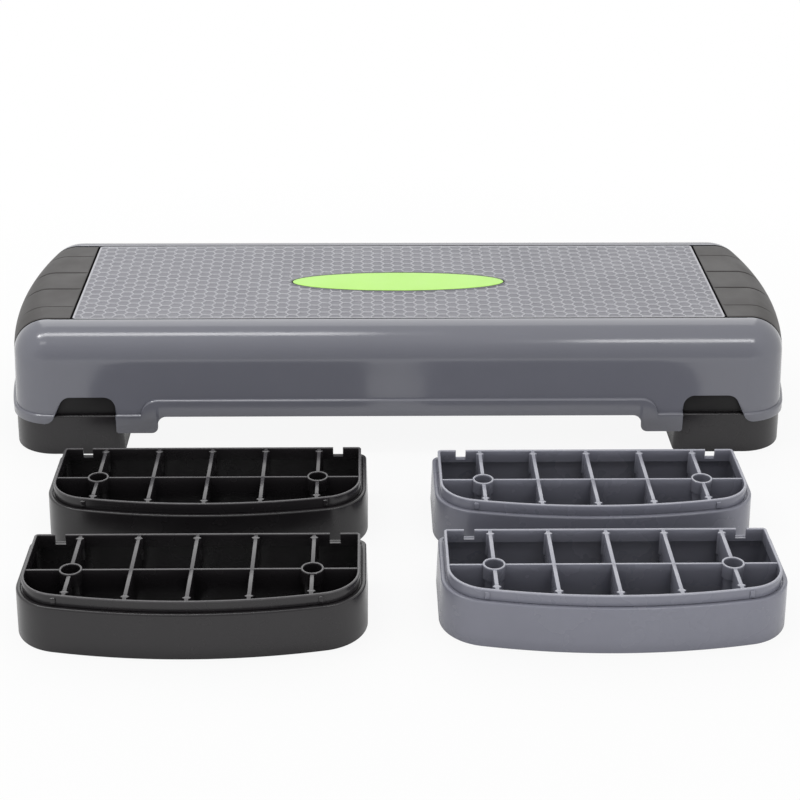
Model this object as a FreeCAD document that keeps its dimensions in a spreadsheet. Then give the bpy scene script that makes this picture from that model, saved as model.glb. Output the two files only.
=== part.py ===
"""Aerobic step platform: a moulded deck on two fitted risers, with four loose risers in front of it."""
import FreeCAD, Part
import math
import os
from types import SimpleNamespace

import Sketcher

# Driving sizes in millimetres, angles in degrees
SIZES = {
    # Deck shell
    "deck_length": 912.0,
    "deck_depth": 332.0,
    "deck_top": 148.0,
    "end_arc_radius": 610.0,
    "deck_corner_radius": 48.0,
    "shoulder_radius": 40.0,
    "wall_draft": 3.0,
    "wall_thickness": 3.0,
    "top_thickness": 6.0,
    "liner_thickness": 5.0,
    "cavity_bevel": 22.0,
    "liner_bevel": 29.0,
    # Lip band along the lower edge of the deck
    "lip_reach": 3.0,
    "lip_clearance": 0.6,
    "flange_thickness": 2.0,
    "lip_middle_top": 68.5,
    "skirt_tab_bottom": 27.5,
    "end_tab_bottom": 39.0,
    "notch_top": 70.5,
    "skirt_length": 47.5,
    "skirt_arc_radius": 10.0,
    "skirt_corner_radius": 7.5,
    "tab_corner_radius": 3.0,
    "ledge_length": 28.5,
    "ledge_slope_length": 4.0,
    "ledge_arc_radius": 20.0,
    "end_notch_reach": 133.0,
    "end_notch_length": 58.8,
    "end_notch_slope_length": 15.1,
    "end_notch_radius": 13.0,
    # Ribs under the deck
    "deck_rib_thickness": 3.0,
    "deck_rib_bottom": 86.0,
    "socket_rib_bottom": 61.0,
    "long_rib_distance": 92.0,
    # Tread mat and badge plate
    "mat_margin": 46.0,
    "mat_thickness": 2.4,
    "mat_corner_radius": 4.0,
    "mat_gap": 0.5,
    "badge_length": 252.0,
    "badge_depth": 58.0,
    "badge_thickness": 1.2,
    "badge_offset": 5.0,
    "badge_gap": 0.5,
    # End grips and their screws
    "grip_thickness": 2.4,
    "grip_bevel": 30.0,
    "grip_gap": 0.3,
    "grip_setback": 0.5,
    "grip_length": 81.4,
    "grip_mat_gap": 1.6,
    "grip_peg_radius": 4.5,
    "grip_peg_length": 9.0,
    "grip_peg_margin": 29.5,
    "grip_peg_reach": 62.0,
    "grip_channel_depth": 0.9,
    "grip_channel_width": 2.2,
    "grip_channel_distance": 53.0,
    "screw_radius": 1.75,
    "screw_length": 9.0,
    "screw_head_radius": 6.2,
    "screw_head_height": 2.4,
    # Risers
    "riser_level": 48.0,
    "riser_back_reach": 73.1,
    "riser_front_reach": 65.8,
    "riser_back_corner_radius": 9.5,
    "riser_fit": 0.3,
    "riser_wall": 3.2,
    "ledge_width": 5.7,
    "ledge_plate": 3.5,
    "spigot_height": 10.7,
    "spigot_wall": 2.8,
    "spigot_back_corner_radius": 4.0,
    "recess_height": 13.0,
    "boss_margin": 51.4,
    "rib_thickness": 3.8,
    "long_rib_thickness": 2.6,
    "rib_drop": 0.6,
    "boss_radius": 11.0,
    "boss_wall": 2.0,
    "notch_width": 10.5,
    "notch_margin": 31.0,
    "key_gap": 0.5,
    "key_clearance": 1.0,
    "snap_width": 4.4,
    "snap_reach": 2.0,
    "snap_margin": 42.0,
    # Rubber strips under the lower rim of each riser
    "pad_stand": 0.3,
    "pad_thickness": 1.2,
    "pad_inset": 1.0,
    "pad_gap": 0.3,
    "pad_length": 52.0,
    "pad_margin": 70.0,
    # Places of the loose risers, measured from the middle of the deck
    "black_front_place": 521.0,
    "black_rear_place": 334.0,
    "black_side_place": 204.0,
    "grey_front_place": 515.0,
    "grey_rear_place": 342.0,
    "grey_side_place": 198.5,
    # How far a cutting solid runs past what it cuts
    "overrun": 10.0,
}
RISER_CROSS_RIBS = 5
DECK_CROSS_RIBS = 6
DECK_LONG_RIBS = 2
GRIP_PEGS = 2
GRIP_CHANNELS = 2
# Sides of the small prisms that stand for round or many-sided details
BOSS_SIDES = 12
PEG_SIDES = 8
SCREW_HEAD_SIDES = 6


class Size:
    """A length that carries its number and the sheet expression it comes from."""

    def __init__(self, value, text):
        self.value = value
        self.text = text

    def joined(self, sign, other, value):
        text = other.text if isinstance(other, Size) else str(other)
        return Size(value, f"({self.text} {sign} {text})")

    def __add__(self, other):
        return self.joined("+", other, self.value + number(other))

    def __sub__(self, other):
        return self.joined("-", other, self.value - number(other))

    def __mul__(self, other):
        return self.joined("*", other, self.value * number(other))

    def __truediv__(self, other):
        return self.joined("/", other, self.value / number(other))

    def __neg__(self):
        return Size(-self.value, f"(-1 * {self.text})")


def number(size):
    return size.value if isinstance(size, Size) else size


doc = FreeCAD.newDocument("step_platform")
sheet = doc.addObject("Spreadsheet::Sheet", "sizes")
for row, (alias, driving) in enumerate(SIZES.items(), start=1):
    sheet.set(f"A{row}", alias)
    sheet.set(f"B{row}", str(driving))
    sheet.setAlias(f"B{row}", alias)
doc.recompute()
S = SimpleNamespace(**{alias: Size(driving, f"sizes.{alias}") for alias, driving in SIZES.items()})
ZERO = Size(0.0, "0")


END = S.deck_length / 2
SIDE = S.deck_depth / 2
GRIP_EDGE = END - S.grip_length
GRIP_DEPTH = S.deck_depth - (S.mat_margin + S.grip_setback) * 2
MAT_LENGTH = (GRIP_EDGE - S.grip_mat_gap) * 2
MAT_DEPTH = S.deck_depth - S.mat_margin * 2
SOCKET_START = END - S.riser_back_reach - S.riser_front_reach
NOTCH_PLACE = SIDE - S.notch_margin


def bind(thing, prop, size):
    if isinstance(size, Size):
        thing.setExpression(prop, size.text)


def move(thing, x=ZERO, y=ZERO, z=ZERO):
    bind(thing, "Placement.Base.x", x)
    bind(thing, "Placement.Base.y", y)
    bind(thing, "Placement.Base.z", z)
    return thing


# Primitives and booleans whose sizes come from the sheet
def box(name, low, extent):
    block = doc.addObject("Part::Box", name)
    for prop, size in zip(("Length", "Width", "Height"), extent):
        bind(block, prop, size)
    return move(block, *low)


def centred_box(name, middle, extent, bottom):
    x, y = middle
    return box(name, (x - extent[0] / 2, y - extent[1] / 2, bottom), extent)


def prism(name, sides, radius, height, place):
    column = doc.addObject("Part::Prism", name)
    column.Polygon = sides
    bind(column, "Circumradius", radius)
    bind(column, "Height", height)
    return move(column, *place)


def spread(count, pitch):
    """Places of a row of count things, pitch apart, about the middle."""
    return [pitch * (index - (count - 1) / 2) for index in range(count)]


def cut(name, base, tool):
    result = doc.addObject("Part::Cut", name)
    result.Base = base
    result.Tool = tool
    return result


def common(name, base, tool):
    result = doc.addObject("Part::Common", name)
    result.Base = base
    result.Tool = tool
    return result


def fuse(name, pieces):
    result = doc.addObject("Part::MultiFuse", name)
    result.Shapes = pieces
    result.Refine = True
    return result


# Sketches
def plane(body, role):
    return next(part for part in body.Origin.OriginFeatures if part.Role == role)


def new_sketch(body, name, role, height=None):
    sketch = body.newObject("Sketcher::SketchObject", name)
    sketch.AttachmentSupport = (plane(body, role), [""])
    sketch.MapMode = "FlatFace"
    if height is not None:
        bind(sketch, "AttachmentOffset.Base.z", height)
    return sketch


def dimension(sketch, kind, where, size):
    index = sketch.addConstraint(Sketcher.Constraint(kind, *where, size.value))
    sketch.renameConstraint(index, f"size_{index}")
    bind(sketch, f".Constraints.size_{index}", size)


def line(sketch, start, end):
    return sketch.addGeometry(Part.LineSegment(FreeCAD.Vector(*start), FreeCAD.Vector(*end)))


def arc(sketch, centre, radius, start, end):
    circle = Part.Circle(FreeCAD.Vector(*centre), FreeCAD.Vector(0, 0, 1), radius)
    return sketch.addGeometry(Part.ArcOfCircle(circle, start, end))


def join_smoothly(sketch, chain):
    """Makes each edge run tangent into the next, from its end to the next one's start."""
    for edge, following in zip(chain, chain[1:] + chain[:1]):
        sketch.addConstraint(Sketcher.Constraint("Tangent", edge[0], edge[2], following[0], following[1]))


def arc_corner(half_width, reach, arc_radius, corner_radius):
    """Centre of a corner that runs from a side at half_width into an arc at reach, and its turn."""
    middle = reach - arc_radius
    along = half_width - corner_radius
    centre = middle + math.sqrt((arc_radius - corner_radius) ** 2 - along ** 2)
    return centre, math.asin(along / (arc_radius - corner_radius))


def deck_sketch(body, inset, height):
    """Deck plan: straight front and back, arced ends, rounded corners."""
    length = END - inset
    depth = SIDE - inset
    bow = S.end_arc_radius - inset
    corner = S.deck_corner_radius - inset
    x, y, radius, small = length.value, depth.value, bow.value, corner.value
    corner_x, turn = arc_corner(y, x, radius, small)
    corner_y = y - small
    sketch = new_sketch(body, "plan", "XY_Plane", height)
    quarter = math.pi / 2
    front = line(sketch, (-corner_x, -y, 0), (corner_x, -y, 0))
    low_right = arc(sketch, (corner_x, -corner_y, 0), small, -quarter, -turn)
    right = arc(sketch, (x - radius, 0, 0), radius, -turn, turn)
    high_right = arc(sketch, (corner_x, corner_y, 0), small, turn, quarter)
    back = line(sketch, (corner_x, y, 0), (-corner_x, y, 0))
    high_left = arc(sketch, (-corner_x, corner_y, 0), small, quarter, math.pi - turn)
    left = arc(sketch, (radius - x, 0, 0), radius, math.pi - turn, math.pi + turn)
    low_left = arc(sketch, (-corner_x, -corner_y, 0), small, math.pi + turn, math.pi + quarter)
    edges = (front, low_right, right, high_right, back, high_left, left, low_left)
    join_smoothly(sketch, [(edge, 1, 2) for edge in edges])
    sketch.addConstraint(Sketcher.Constraint("Horizontal", front))
    sketch.addConstraint(Sketcher.Constraint("Horizontal", back))
    for edge in (low_right, high_right, high_left, low_left):
        dimension(sketch, "Radius", (edge,), corner)
    for edge in (right, left):
        dimension(sketch, "Radius", (edge,), bow)
        sketch.addConstraint(Sketcher.Constraint("PointOnObject", edge, 3, -1))
    dimension(sketch, "DistanceX", (right, 3, -1, 1), bow - length)
    dimension(sketch, "DistanceX", (-1, 1, left, 3), bow - length)
    dimension(sketch, "DistanceY", (front, 1, -1, 1), depth)
    dimension(sketch, "DistanceY", (-1, 1, back, 1), depth)
    return sketch


def riser_sketch(body, inset, back_corner, height):
    """Riser plan: straight back, short sides and a bowed front that follows the deck's end."""
    length = SIDE - S.riser_fit - inset
    back_side = S.riser_back_reach - inset
    reach = S.riser_front_reach - inset
    bow = S.end_arc_radius - S.riser_fit - inset
    corner = S.deck_corner_radius - S.riser_fit - inset
    x, y, radius, small, tight = length.value, back_side.value, bow.value, corner.value, back_corner.value
    drop, turn = arc_corner(x, reach.value, radius, small)
    quarter = math.pi / 2
    sketch = new_sketch(body, "plan", "XY_Plane", height)
    right = line(sketch, (x, -drop, 0), (x, y - tight, 0))
    back_right = arc(sketch, (x - tight, y - tight, 0), tight, 0, quarter)
    back = line(sketch, (x - tight, y, 0), (tight - x, y, 0))
    back_left = arc(sketch, (tight - x, y - tight, 0), tight, quarter, math.pi)
    left = line(sketch, (-x, y - tight, 0), (-x, -drop, 0))
    front_left = arc(sketch, (small - x, -drop, 0), small, math.pi, 3 * quarter - turn)
    front = arc(sketch, (0, radius - reach.value, 0), radius, -quarter - turn, -quarter + turn)
    front_right = arc(sketch, (x - small, -drop, 0), small, -quarter + turn, 0)
    edges = (right, back_right, back, back_left, left, front_left, front, front_right)
    join_smoothly(sketch, [(edge, 1, 2) for edge in edges])
    for edge in (right, left):
        sketch.addConstraint(Sketcher.Constraint("Vertical", edge))
    sketch.addConstraint(Sketcher.Constraint("Horizontal", back))
    for edge in (front_left, front_right):
        dimension(sketch, "Radius", (edge,), corner)
    for edge in (back_left, back_right):
        dimension(sketch, "Radius", (edge,), back_corner)
    dimension(sketch, "Radius", (front,), bow)
    sketch.addConstraint(Sketcher.Constraint("PointOnObject", front, 3, -2))
    dimension(sketch, "DistanceY", (-1, 1, front, 3), bow - reach)
    dimension(sketch, "DistanceY", (-1, 1, back, 1), back_side)
    dimension(sketch, "DistanceX", (-1, 1, right, 1), length)
    dimension(sketch, "DistanceX", (left, 1, -1, 1), length)
    return sketch


# Solids grown from the sketches
def pad(body, sketch, height, draft=None):
    grown = body.newObject("PartDesign::Pad", "pad")
    grown.Profile = sketch
    bind(grown, "Length", height)
    if draft is not None:
        bind(grown, "TaperAngle", -draft)
    return grown


def edge_names(base, chosen):
    """Names of the edges of base whose middle the test accepts."""
    doc.recompute()
    names = []
    for index, edge in enumerate(base.Shape.Edges, start=1):
        middle = edge.valueAt((edge.FirstParameter + edge.LastParameter) / 2)
        if chosen(edge, middle):
            names.append(f"Edge{index}")
    return names


def round_edges(body, base, radius, chosen):
    rounded = body.newObject("PartDesign::Fillet", "rounding")
    rounded.Base = (base, edge_names(base, chosen))
    bind(rounded, "Radius", radius)
    return rounded


def bevel_edges(body, base, size, chosen):
    bevelled = body.newObject("PartDesign::Chamfer", "bevel")
    bevelled.Base = (base, edge_names(base, chosen))
    bind(bevelled, "Size", size)
    return bevelled


def at_height(height):
    return lambda edge, middle: abs(middle.z - height.value) < edge.Length * 1e-6


def deck_band(name, inset, bottom, top):
    """Upright solid of the deck's plan between two heights."""
    body = doc.addObject("PartDesign::Body", name)
    pad(body, deck_sketch(body, inset, bottom), top - bottom)
    return body


def deck_block(name, inset=ZERO, top_drop=ZERO, bevel=None):
    """Solid of the deck's outer form, or of the same form drawn in, with a bevelled shoulder."""
    body = doc.addObject("PartDesign::Body", name)
    ceiling = S.deck_top - top_drop
    grown = pad(body, deck_sketch(body, inset, S.riser_level), ceiling - S.riser_level, S.wall_draft)
    if bevel is None:
        round_edges(body, grown, S.shoulder_radius, at_height(ceiling))
    else:
        bevel_edges(body, grown, bevel, at_height(ceiling))
    return body


def riser_block(name, inset, back_corner, bottom, top):
    body = doc.addObject("PartDesign::Body", name)
    pad(body, riser_sketch(body, inset, back_corner, bottom), top - bottom)
    return body


def edge_profile(name, half_points, roundings, depth):
    """Solid under a line that is the same left and right, run through the deck from front to back."""
    body = doc.addObject("PartDesign::Body", name)
    sketch = new_sketch(body, "profile", "XZ_Plane")
    points = half_points + [(-x, z) for x, z in reversed(half_points)]
    places = [(x.value, z.value, 0) for x, z in points]
    edges = [line(sketch, start, end) for start, end in zip(places, places[1:] + places[:1])]
    for index, edge in enumerate(edges):
        following = edges[(index + 1) % len(edges)]
        sketch.addConstraint(Sketcher.Constraint("Coincident", edge, 2, following, 1))
    for edge, (x, z) in zip(edges, points):
        across = (-1, 1, edge, 1) if x.value >= 0 else (edge, 1, -1, 1)
        dimension(sketch, "DistanceX", across, x if x.value >= 0 else -x)
        upward = (-1, 1, edge, 1) if z.value >= 0 else (edge, 1, -1, 1)
        dimension(sketch, "DistanceY", upward, z if z.value >= 0 else -z)
    grown = pad(body, sketch, depth)
    grown.Midplane = True
    for radius, corners in roundings:
        reach = radius.value / 2

        def chosen(edge, middle, corners=corners, reach=reach):
            beside = [abs(abs(middle.x) - x.value) + abs(middle.z - z.value) < reach for x, z in corners]
            return abs(middle.y) < reach and any(beside)

        grown = round_edges(body, grown, radius, chosen)
    return body


# Deck shell
def lower_edge_profiles():
    """Solids below the lip's top, below the flange's underside and below the deck's lower edge."""
    depth = S.deck_depth + S.overrun * 4
    far = END + S.overrun
    floor = -S.overrun
    notch_inner = END - S.end_notch_reach
    notch_outer = notch_inner + S.end_notch_length
    ledge_end = notch_inner - S.ledge_length
    skirt_end = notch_inner - S.skirt_length
    profiles = []
    for name, drop in (("below_lip_top", ZERO), ("below_flange", S.flange_thickness)):
        low = S.riser_level + S.flange_thickness - drop
        high = S.lip_middle_top - drop
        points = [(far, floor), (far, low), (ledge_end, low), (ledge_end - S.ledge_slope_length, high)]
        profiles.append(edge_profile(name, points, [(S.ledge_arc_radius, points[3:])], depth))
    points = [
        (far, floor),
        (far, S.end_tab_bottom),
        (notch_outer + S.end_notch_slope_length, S.end_tab_bottom),
        (notch_outer, S.notch_top),
        (notch_inner, S.notch_top),
        (notch_inner, S.skirt_tab_bottom),
        (skirt_end, S.skirt_tab_bottom),
        (skirt_end, S.riser_level),
    ]
    roundings = [
        (S.end_notch_radius, points[2:5]),
        (S.tab_corner_radius, points[5:6]),
        (S.skirt_corner_radius, points[6:7]),
        (S.skirt_arc_radius, points[7:8]),
    ]
    profiles.append(edge_profile("below_deck_edge", points, roundings, depth))
    return profiles


def grip_zone(name, side, depth, edge, bottom):
    """Box round the part of one deck end that the end grip covers."""
    length = END + S.overrun - edge
    low = edge if side > 0 else -(END + S.overrun)
    return box(name, (low, -depth / 2, bottom), (length, depth, S.deck_top + S.overrun - bottom))


def deck_ribs(cavity):
    """Crossed stiffening ribs under the top, deeper over the sockets at both ends."""
    ribs = []
    height = S.deck_top - S.deck_rib_bottom
    socket_wall = SOCKET_START - S.overrun
    for place in spread(DECK_CROSS_RIBS, socket_wall * 2 / (DECK_CROSS_RIBS + 1)):
        extent = (S.deck_rib_thickness, S.deck_depth, height)
        ribs.append(centred_box("cross_rib", (place, ZERO), extent, S.deck_rib_bottom))
    for side in (-1, 1):
        extent = (S.deck_rib_thickness, S.deck_depth, S.deck_top - S.riser_level)
        place = socket_wall * side
        ribs.append(centred_box("socket_wall", (place, ZERO), extent, S.riser_level))
        for row in (-1, 1):
            ribs.append(socket_key(side, row, place))
    for place in spread(DECK_LONG_RIBS, S.long_rib_distance):
        extent = (S.deck_length, S.deck_rib_thickness, height)
        ribs.append(centred_box("long_rib", (ZERO, place), extent, S.deck_rib_bottom))
        for side in (-1, 1):
            low = SOCKET_START if side > 0 else -END
            extent = (END - SOCKET_START, S.deck_rib_thickness, S.deck_top - S.socket_rib_bottom)
            start = (low, place - S.deck_rib_thickness / 2, S.socket_rib_bottom)
            ribs.append(box("socket_rib", start, extent))
    return common("deck_ribs", fuse("rib_grid", ribs), cavity)


def socket_key(side, row, wall):
    """Key on a socket's inner wall that drops into a notch of the fitted riser."""
    width = S.notch_width - S.key_gap * 2
    reach = S.overrun + S.ledge_width + S.spigot_wall + S.key_clearance
    low = wall if side > 0 else wall - reach
    bottom = S.riser_level + S.key_clearance
    start = (low, NOTCH_PLACE * row - width / 2, bottom)
    return box("socket_key", start, (reach, width, S.deck_rib_bottom - bottom))


def grip_peg_places():
    distance = GRIP_DEPTH - S.grip_peg_margin * 2
    return [(END - S.grip_peg_reach, place) for place in spread(GRIP_PEGS, distance)]


def make_deck_shell(envelope):
    below_lip_top, below_flange, below_edge = lower_edge_profiles()
    cavity = deck_block("cavity", S.wall_thickness, S.top_thickness, S.cavity_bevel)
    seat = S.grip_thickness + S.grip_gap
    grip_seat = deck_block("grip_seat", seat, seat, S.grip_bevel)
    liner = deck_block("liner", S.liner_thickness, S.top_thickness, S.liner_bevel)
    lip_top = S.lip_middle_top + S.overrun
    lip = deck_band("lip_band", -S.lip_reach, S.skirt_tab_bottom, S.lip_middle_top)
    lip_inside = deck_band("lip_inside", -S.lip_clearance, -S.overrun, lip_top)
    opening = GRIP_DEPTH + S.grip_gap * 2
    edge = GRIP_EDGE - S.grip_gap
    flange_top = S.riser_level + S.flange_thickness
    zones = []
    liners = []
    for side in (-1, 1):
        zones.append(grip_zone("grip_opening", side, opening, edge, flange_top))
        wide = opening + S.wall_thickness
        liners.append(grip_zone("liner_zone", side, wide, edge - S.wall_thickness, S.riser_level))
    liner_pads = cut("liner_pads", fuse("liner_zones", liners), liner)
    hollow = cut("hollow", cavity, liner_pads)
    walls = cut("walls", envelope, below_flange)
    skirt = common("skirt", lip, below_lip_top)
    body = fuse("deck_body", [walls, skirt])
    body = cut("deck_hollowed", body, hollow)
    body = fuse("deck_ribbed", [body, deck_ribs(hollow)])
    body = cut("lip_cleared", body, common("lip_hollow", lip_inside, below_flange))
    body = cut("edge_trimmed", body, below_edge)
    recess = cut("grip_recess", fuse("grip_openings", zones), grip_seat)
    gap = S.mat_gap * 2
    extent = (MAT_LENGTH + gap, MAT_DEPTH + gap, S.mat_thickness + S.overrun)
    mat_seat = centred_box("mat_seat", (ZERO, ZERO), extent, S.deck_top - S.mat_thickness)
    holes = []
    for side in (-1, 1):
        for x, y in grip_peg_places():
            radius = S.grip_peg_radius + S.grip_gap
            place = (x * side, y, S.deck_top - S.top_thickness - S.overrun)
            holes.append(prism("peg_hole", PEG_SIDES, radius, S.top_thickness + S.overrun, place))
    return cut("deck_moulding", body, fuse("deck_cuts", [recess, mat_seat] + holes))


# Pieces on the deck
def make_end_grip(envelope):
    """Right-hand end grip: a skin over the top and the end wall, with pegs through the deck."""
    inner = deck_block("grip_inside", S.grip_thickness, S.grip_thickness, S.grip_bevel)
    zone = grip_zone("grip_zone", 1, GRIP_DEPTH, GRIP_EDGE, S.riser_level + S.flange_thickness)
    skin = cut("grip_skin", common("grip_outside", envelope, zone), inner)
    pegs = []
    bores = []
    top = S.deck_top - S.grip_thickness / 2
    for x, y in grip_peg_places():
        place = (x, y, top - S.grip_peg_length)
        pegs.append(prism("grip_peg", PEG_SIDES, S.grip_peg_radius, S.grip_peg_length, place))
        place = (x, y, top - S.grip_peg_length - S.screw_head_height)
        bores.append(prism("grip_bore", PEG_SIDES, S.screw_radius, S.screw_length, place))
    channels = []
    for place in spread(GRIP_CHANNELS, S.grip_channel_distance):
        extent = (S.grip_length, S.grip_channel_width, S.grip_channel_depth + S.overrun)
        middle = (END - S.grip_length / 2, place)
        bottom = S.deck_top - S.grip_channel_depth
        channels.append(centred_box("grip_channel", middle, extent, bottom))
    return cut("end_grip", fuse("grip_with_pegs", [skin] + pegs), fuse("grip_cuts", bores + channels))


def make_grip_screws():
    """Hexagon-head screws that hold one end grip's pegs from below."""
    screws = []
    peg_bottom = S.deck_top - S.grip_thickness / 2 - S.grip_peg_length
    for x, y in grip_peg_places():
        place = (x, y, peg_bottom - S.screw_head_height)
        head = prism("screw_head", SCREW_HEAD_SIDES, S.screw_head_radius, S.screw_head_height, place)
        shank = prism("screw_shank", PEG_SIDES, S.screw_radius, S.screw_length, place)
        screws.append(fuse("grip_screw", [head, shank]))
    return screws


def oval(name, gap, bottom, height):
    ring = doc.addObject("Part::Ellipse", f"{name}_ring")
    bind(ring, "MajorRadius", S.badge_length / 2 + gap)
    bind(ring, "MinorRadius", S.badge_depth / 2 + gap)
    move(ring, ZERO, -S.badge_offset, bottom)
    grown = doc.addObject("Part::Extrusion", name)
    grown.Base = ring
    grown.DirMode = "Normal"
    grown.Solid = True
    bind(grown, "LengthFwd", height)
    return grown


def make_tread_mat():
    body = doc.addObject("PartDesign::Body", "mat_plate")
    sketch = new_sketch(body, "plan", "XY_Plane", S.deck_top - S.mat_thickness)
    half_x = MAT_LENGTH / 2
    half_y = MAT_DEPTH / 2
    corners = [(-1, -1), (1, -1), (1, 1), (-1, 1)]
    places = [(half_x.value * x, half_y.value * y, 0) for x, y in corners]
    edges = [line(sketch, start, end) for start, end in zip(places, places[1:] + places[:1])]
    for index, edge in enumerate(edges):
        sketch.addConstraint(Sketcher.Constraint("Coincident", edge, 2, edges[(index + 1) % 4], 1))
        sketch.addConstraint(Sketcher.Constraint("Vertical" if index % 2 else "Horizontal", edge))
    dimension(sketch, "DistanceX", (edges[0], 1, edges[0], 2), MAT_LENGTH)
    dimension(sketch, "DistanceY", (edges[1], 1, edges[1], 2), MAT_DEPTH)
    sketch.addConstraint(Sketcher.Constraint("Symmetric", edges[0], 1, edges[2], 1, -1, 1))
    plate = pad(body, sketch, S.mat_thickness)
    middle_height = S.deck_top - S.mat_thickness / 2
    round_edges(body, plate, S.mat_corner_radius, at_height(middle_height))
    floor = S.deck_top - S.badge_thickness
    pocket = oval("badge_pocket", S.badge_gap, floor, S.badge_thickness + S.overrun)
    return cut("tread_plate", body, pocket)


# Riser
def make_riser():
    """One riser, spigot side up: straight side to +Y, bowed side to -Y, middle rib on the X axis."""
    level = S.riser_level
    top = level + S.spigot_height
    wall = riser_block("riser_wall_block", ZERO, S.riser_back_corner_radius, S.pad_stand, level)
    back_corner = S.spigot_back_corner_radius
    rib_bottom = S.recess_height
    spigot = riser_block("spigot_block", S.ledge_width, back_corner, rib_bottom, top)
    block = fuse("riser_block", [wall, spigot])
    inside = S.riser_back_corner_radius - S.riser_wall
    chamber = riser_block("riser_chamber", S.riser_wall, inside, -S.overrun, level - S.ledge_plate)
    mouth_inset = S.ledge_width + S.spigot_wall
    mouth_corner = S.spigot_back_corner_radius / 2
    mouth = riser_block("riser_mouth", mouth_inset, mouth_corner, rib_bottom, top + S.overrun)
    hollow = fuse("riser_hollow", [chamber, mouth])
    shell = cut("riser_shell", block, hollow)
    inner = common("rib_bounds", block, hollow)
    web = common("riser_ribs", fuse("rib_set", riser_rib_set(rib_bottom, top)), inner)
    solid = fuse("riser_solid", [shell, web] + riser_keys() + riser_snaps(level))
    return cut("riser", solid, fuse("riser_cuts", riser_cuts(level, rib_bottom, top)))


def rib_places():
    """Cross ribs, evenly spaced between the outermost two."""
    return spread(RISER_CROSS_RIBS, (SIDE - S.boss_margin) * 2 / (RISER_CROSS_RIBS - 1))


def boss_places():
    """The two bosses stand on the outermost cross ribs."""
    ribs = rib_places()
    return ribs[0], ribs[-1]


def riser_rib_set(bottom, top):
    """Cross ribs, one long rib, and two bosses."""
    height = top - S.rib_drop - bottom
    depth = (S.riser_back_reach + S.riser_front_reach) * 2
    ribs = [centred_box("long_rib", (ZERO, ZERO), (S.deck_depth, S.long_rib_thickness, height), bottom)]
    for x in rib_places():
        ribs.append(centred_box("cross_rib", (x, ZERO), (S.rib_thickness, depth, height), bottom))
    for x in boss_places():
        ribs.append(prism("boss", BOSS_SIDES, S.boss_radius, top - bottom, (x, ZERO, bottom)))
    return ribs


def riser_keys():
    """Keys on the straight wall's underside that drop into the notches of a riser below."""
    width = S.notch_width - S.key_gap * 2
    depth = S.ledge_width + S.spigot_wall + S.key_clearance
    bottom = S.pad_thickness + S.key_clearance
    height = S.recess_height - bottom
    back = S.riser_back_reach - S.riser_wall / 2
    return [box("riser_key", (NOTCH_PLACE * side - width / 2, back - depth, bottom), (width, depth, height))
            for side in (-1, 1)]


def riser_snaps(level):
    """Upright snaps on the bowed wall above the ledge."""
    bow = S.end_arc_radius - S.riser_fit - S.ledge_width
    reach = S.riser_front_reach - S.ledge_width
    snap_place = SIDE - S.snap_margin
    face = reach - snap_place * snap_place / (bow * 2)
    extent = (S.snap_width, S.snap_reach + S.spigot_wall, S.spigot_height - S.snap_reach)
    low = -(face + S.snap_reach)
    return [box("snap", (snap_place * side - S.snap_width / 2, low, level), extent) for side in (-1, 1)]


def riser_cuts(level, bottom, top):
    """Boss bores, key notches in the straight wall, and rebates for the strips under the lower rim."""
    cuts = [rim_strips("pad_rebate", S.pad_inset - S.pad_gap, S.pad_length + S.pad_gap * 2)]
    for x in boss_places():
        bore = S.boss_radius - S.boss_wall
        length = top - bottom + S.overrun * 2
        cuts.append(prism("boss_bore", BOSS_SIDES, bore, length, (x, ZERO, bottom - S.overrun)))
    depth = (S.ledge_width + S.spigot_wall) * 2
    for side in (-1, 1):
        extent = (S.notch_width, depth, S.spigot_height + S.overrun)
        cuts.append(centred_box("key_notch", (NOTCH_PLACE * side, S.riser_back_reach), extent, level))
    return cuts


def rim_strips(name, inset, length):
    """Four strips along the lower rim, two on the straight wall and two on the bowed one."""
    corner = S.riser_back_corner_radius
    outer = riser_block(f"{name}_outside", inset, corner - inset, ZERO, S.pad_thickness)
    inner = riser_block(f"{name}_inside", S.riser_wall, corner - S.riser_wall, -S.overrun, S.overrun)
    depth = (S.riser_back_reach + S.riser_front_reach) * 2
    extent = (length, depth, S.pad_thickness)
    places = [(SIDE - S.pad_margin) * side for side in (-1, 1)]
    zones = [centred_box(f"{name}_zone", (place, ZERO), extent, ZERO) for place in places]
    return common(name, cut(f"{name}_ring", outer, inner), fuse(f"{name}_zones", zones))


# Nodes
NODES = []


def node(label, sources, place=(ZERO, ZERO), angle=0):
    """A named piece of the set: one or more solids, set down at their place."""
    piece = doc.addObject("Part::Compound", label)
    piece.Label = label
    piece.Links = sources
    piece.Placement = FreeCAD.Placement(FreeCAD.Vector(), FreeCAD.Vector(0, 0, 1), angle)
    move(piece, *place)
    NODES.append(piece)


def mirrored(source):
    twin = doc.addObject("Part::Mirroring", f"{source.Name}_mirrored")
    twin.Source = source
    twin.Normal = (1, 0, 0)
    return twin


def deck_place():
    """Where the deck's middle lies, with the middle of the whole set at zero."""
    front = S.black_front_place + S.riser_front_reach
    back = SIDE + S.lip_reach
    return (front - back) / 2


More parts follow.
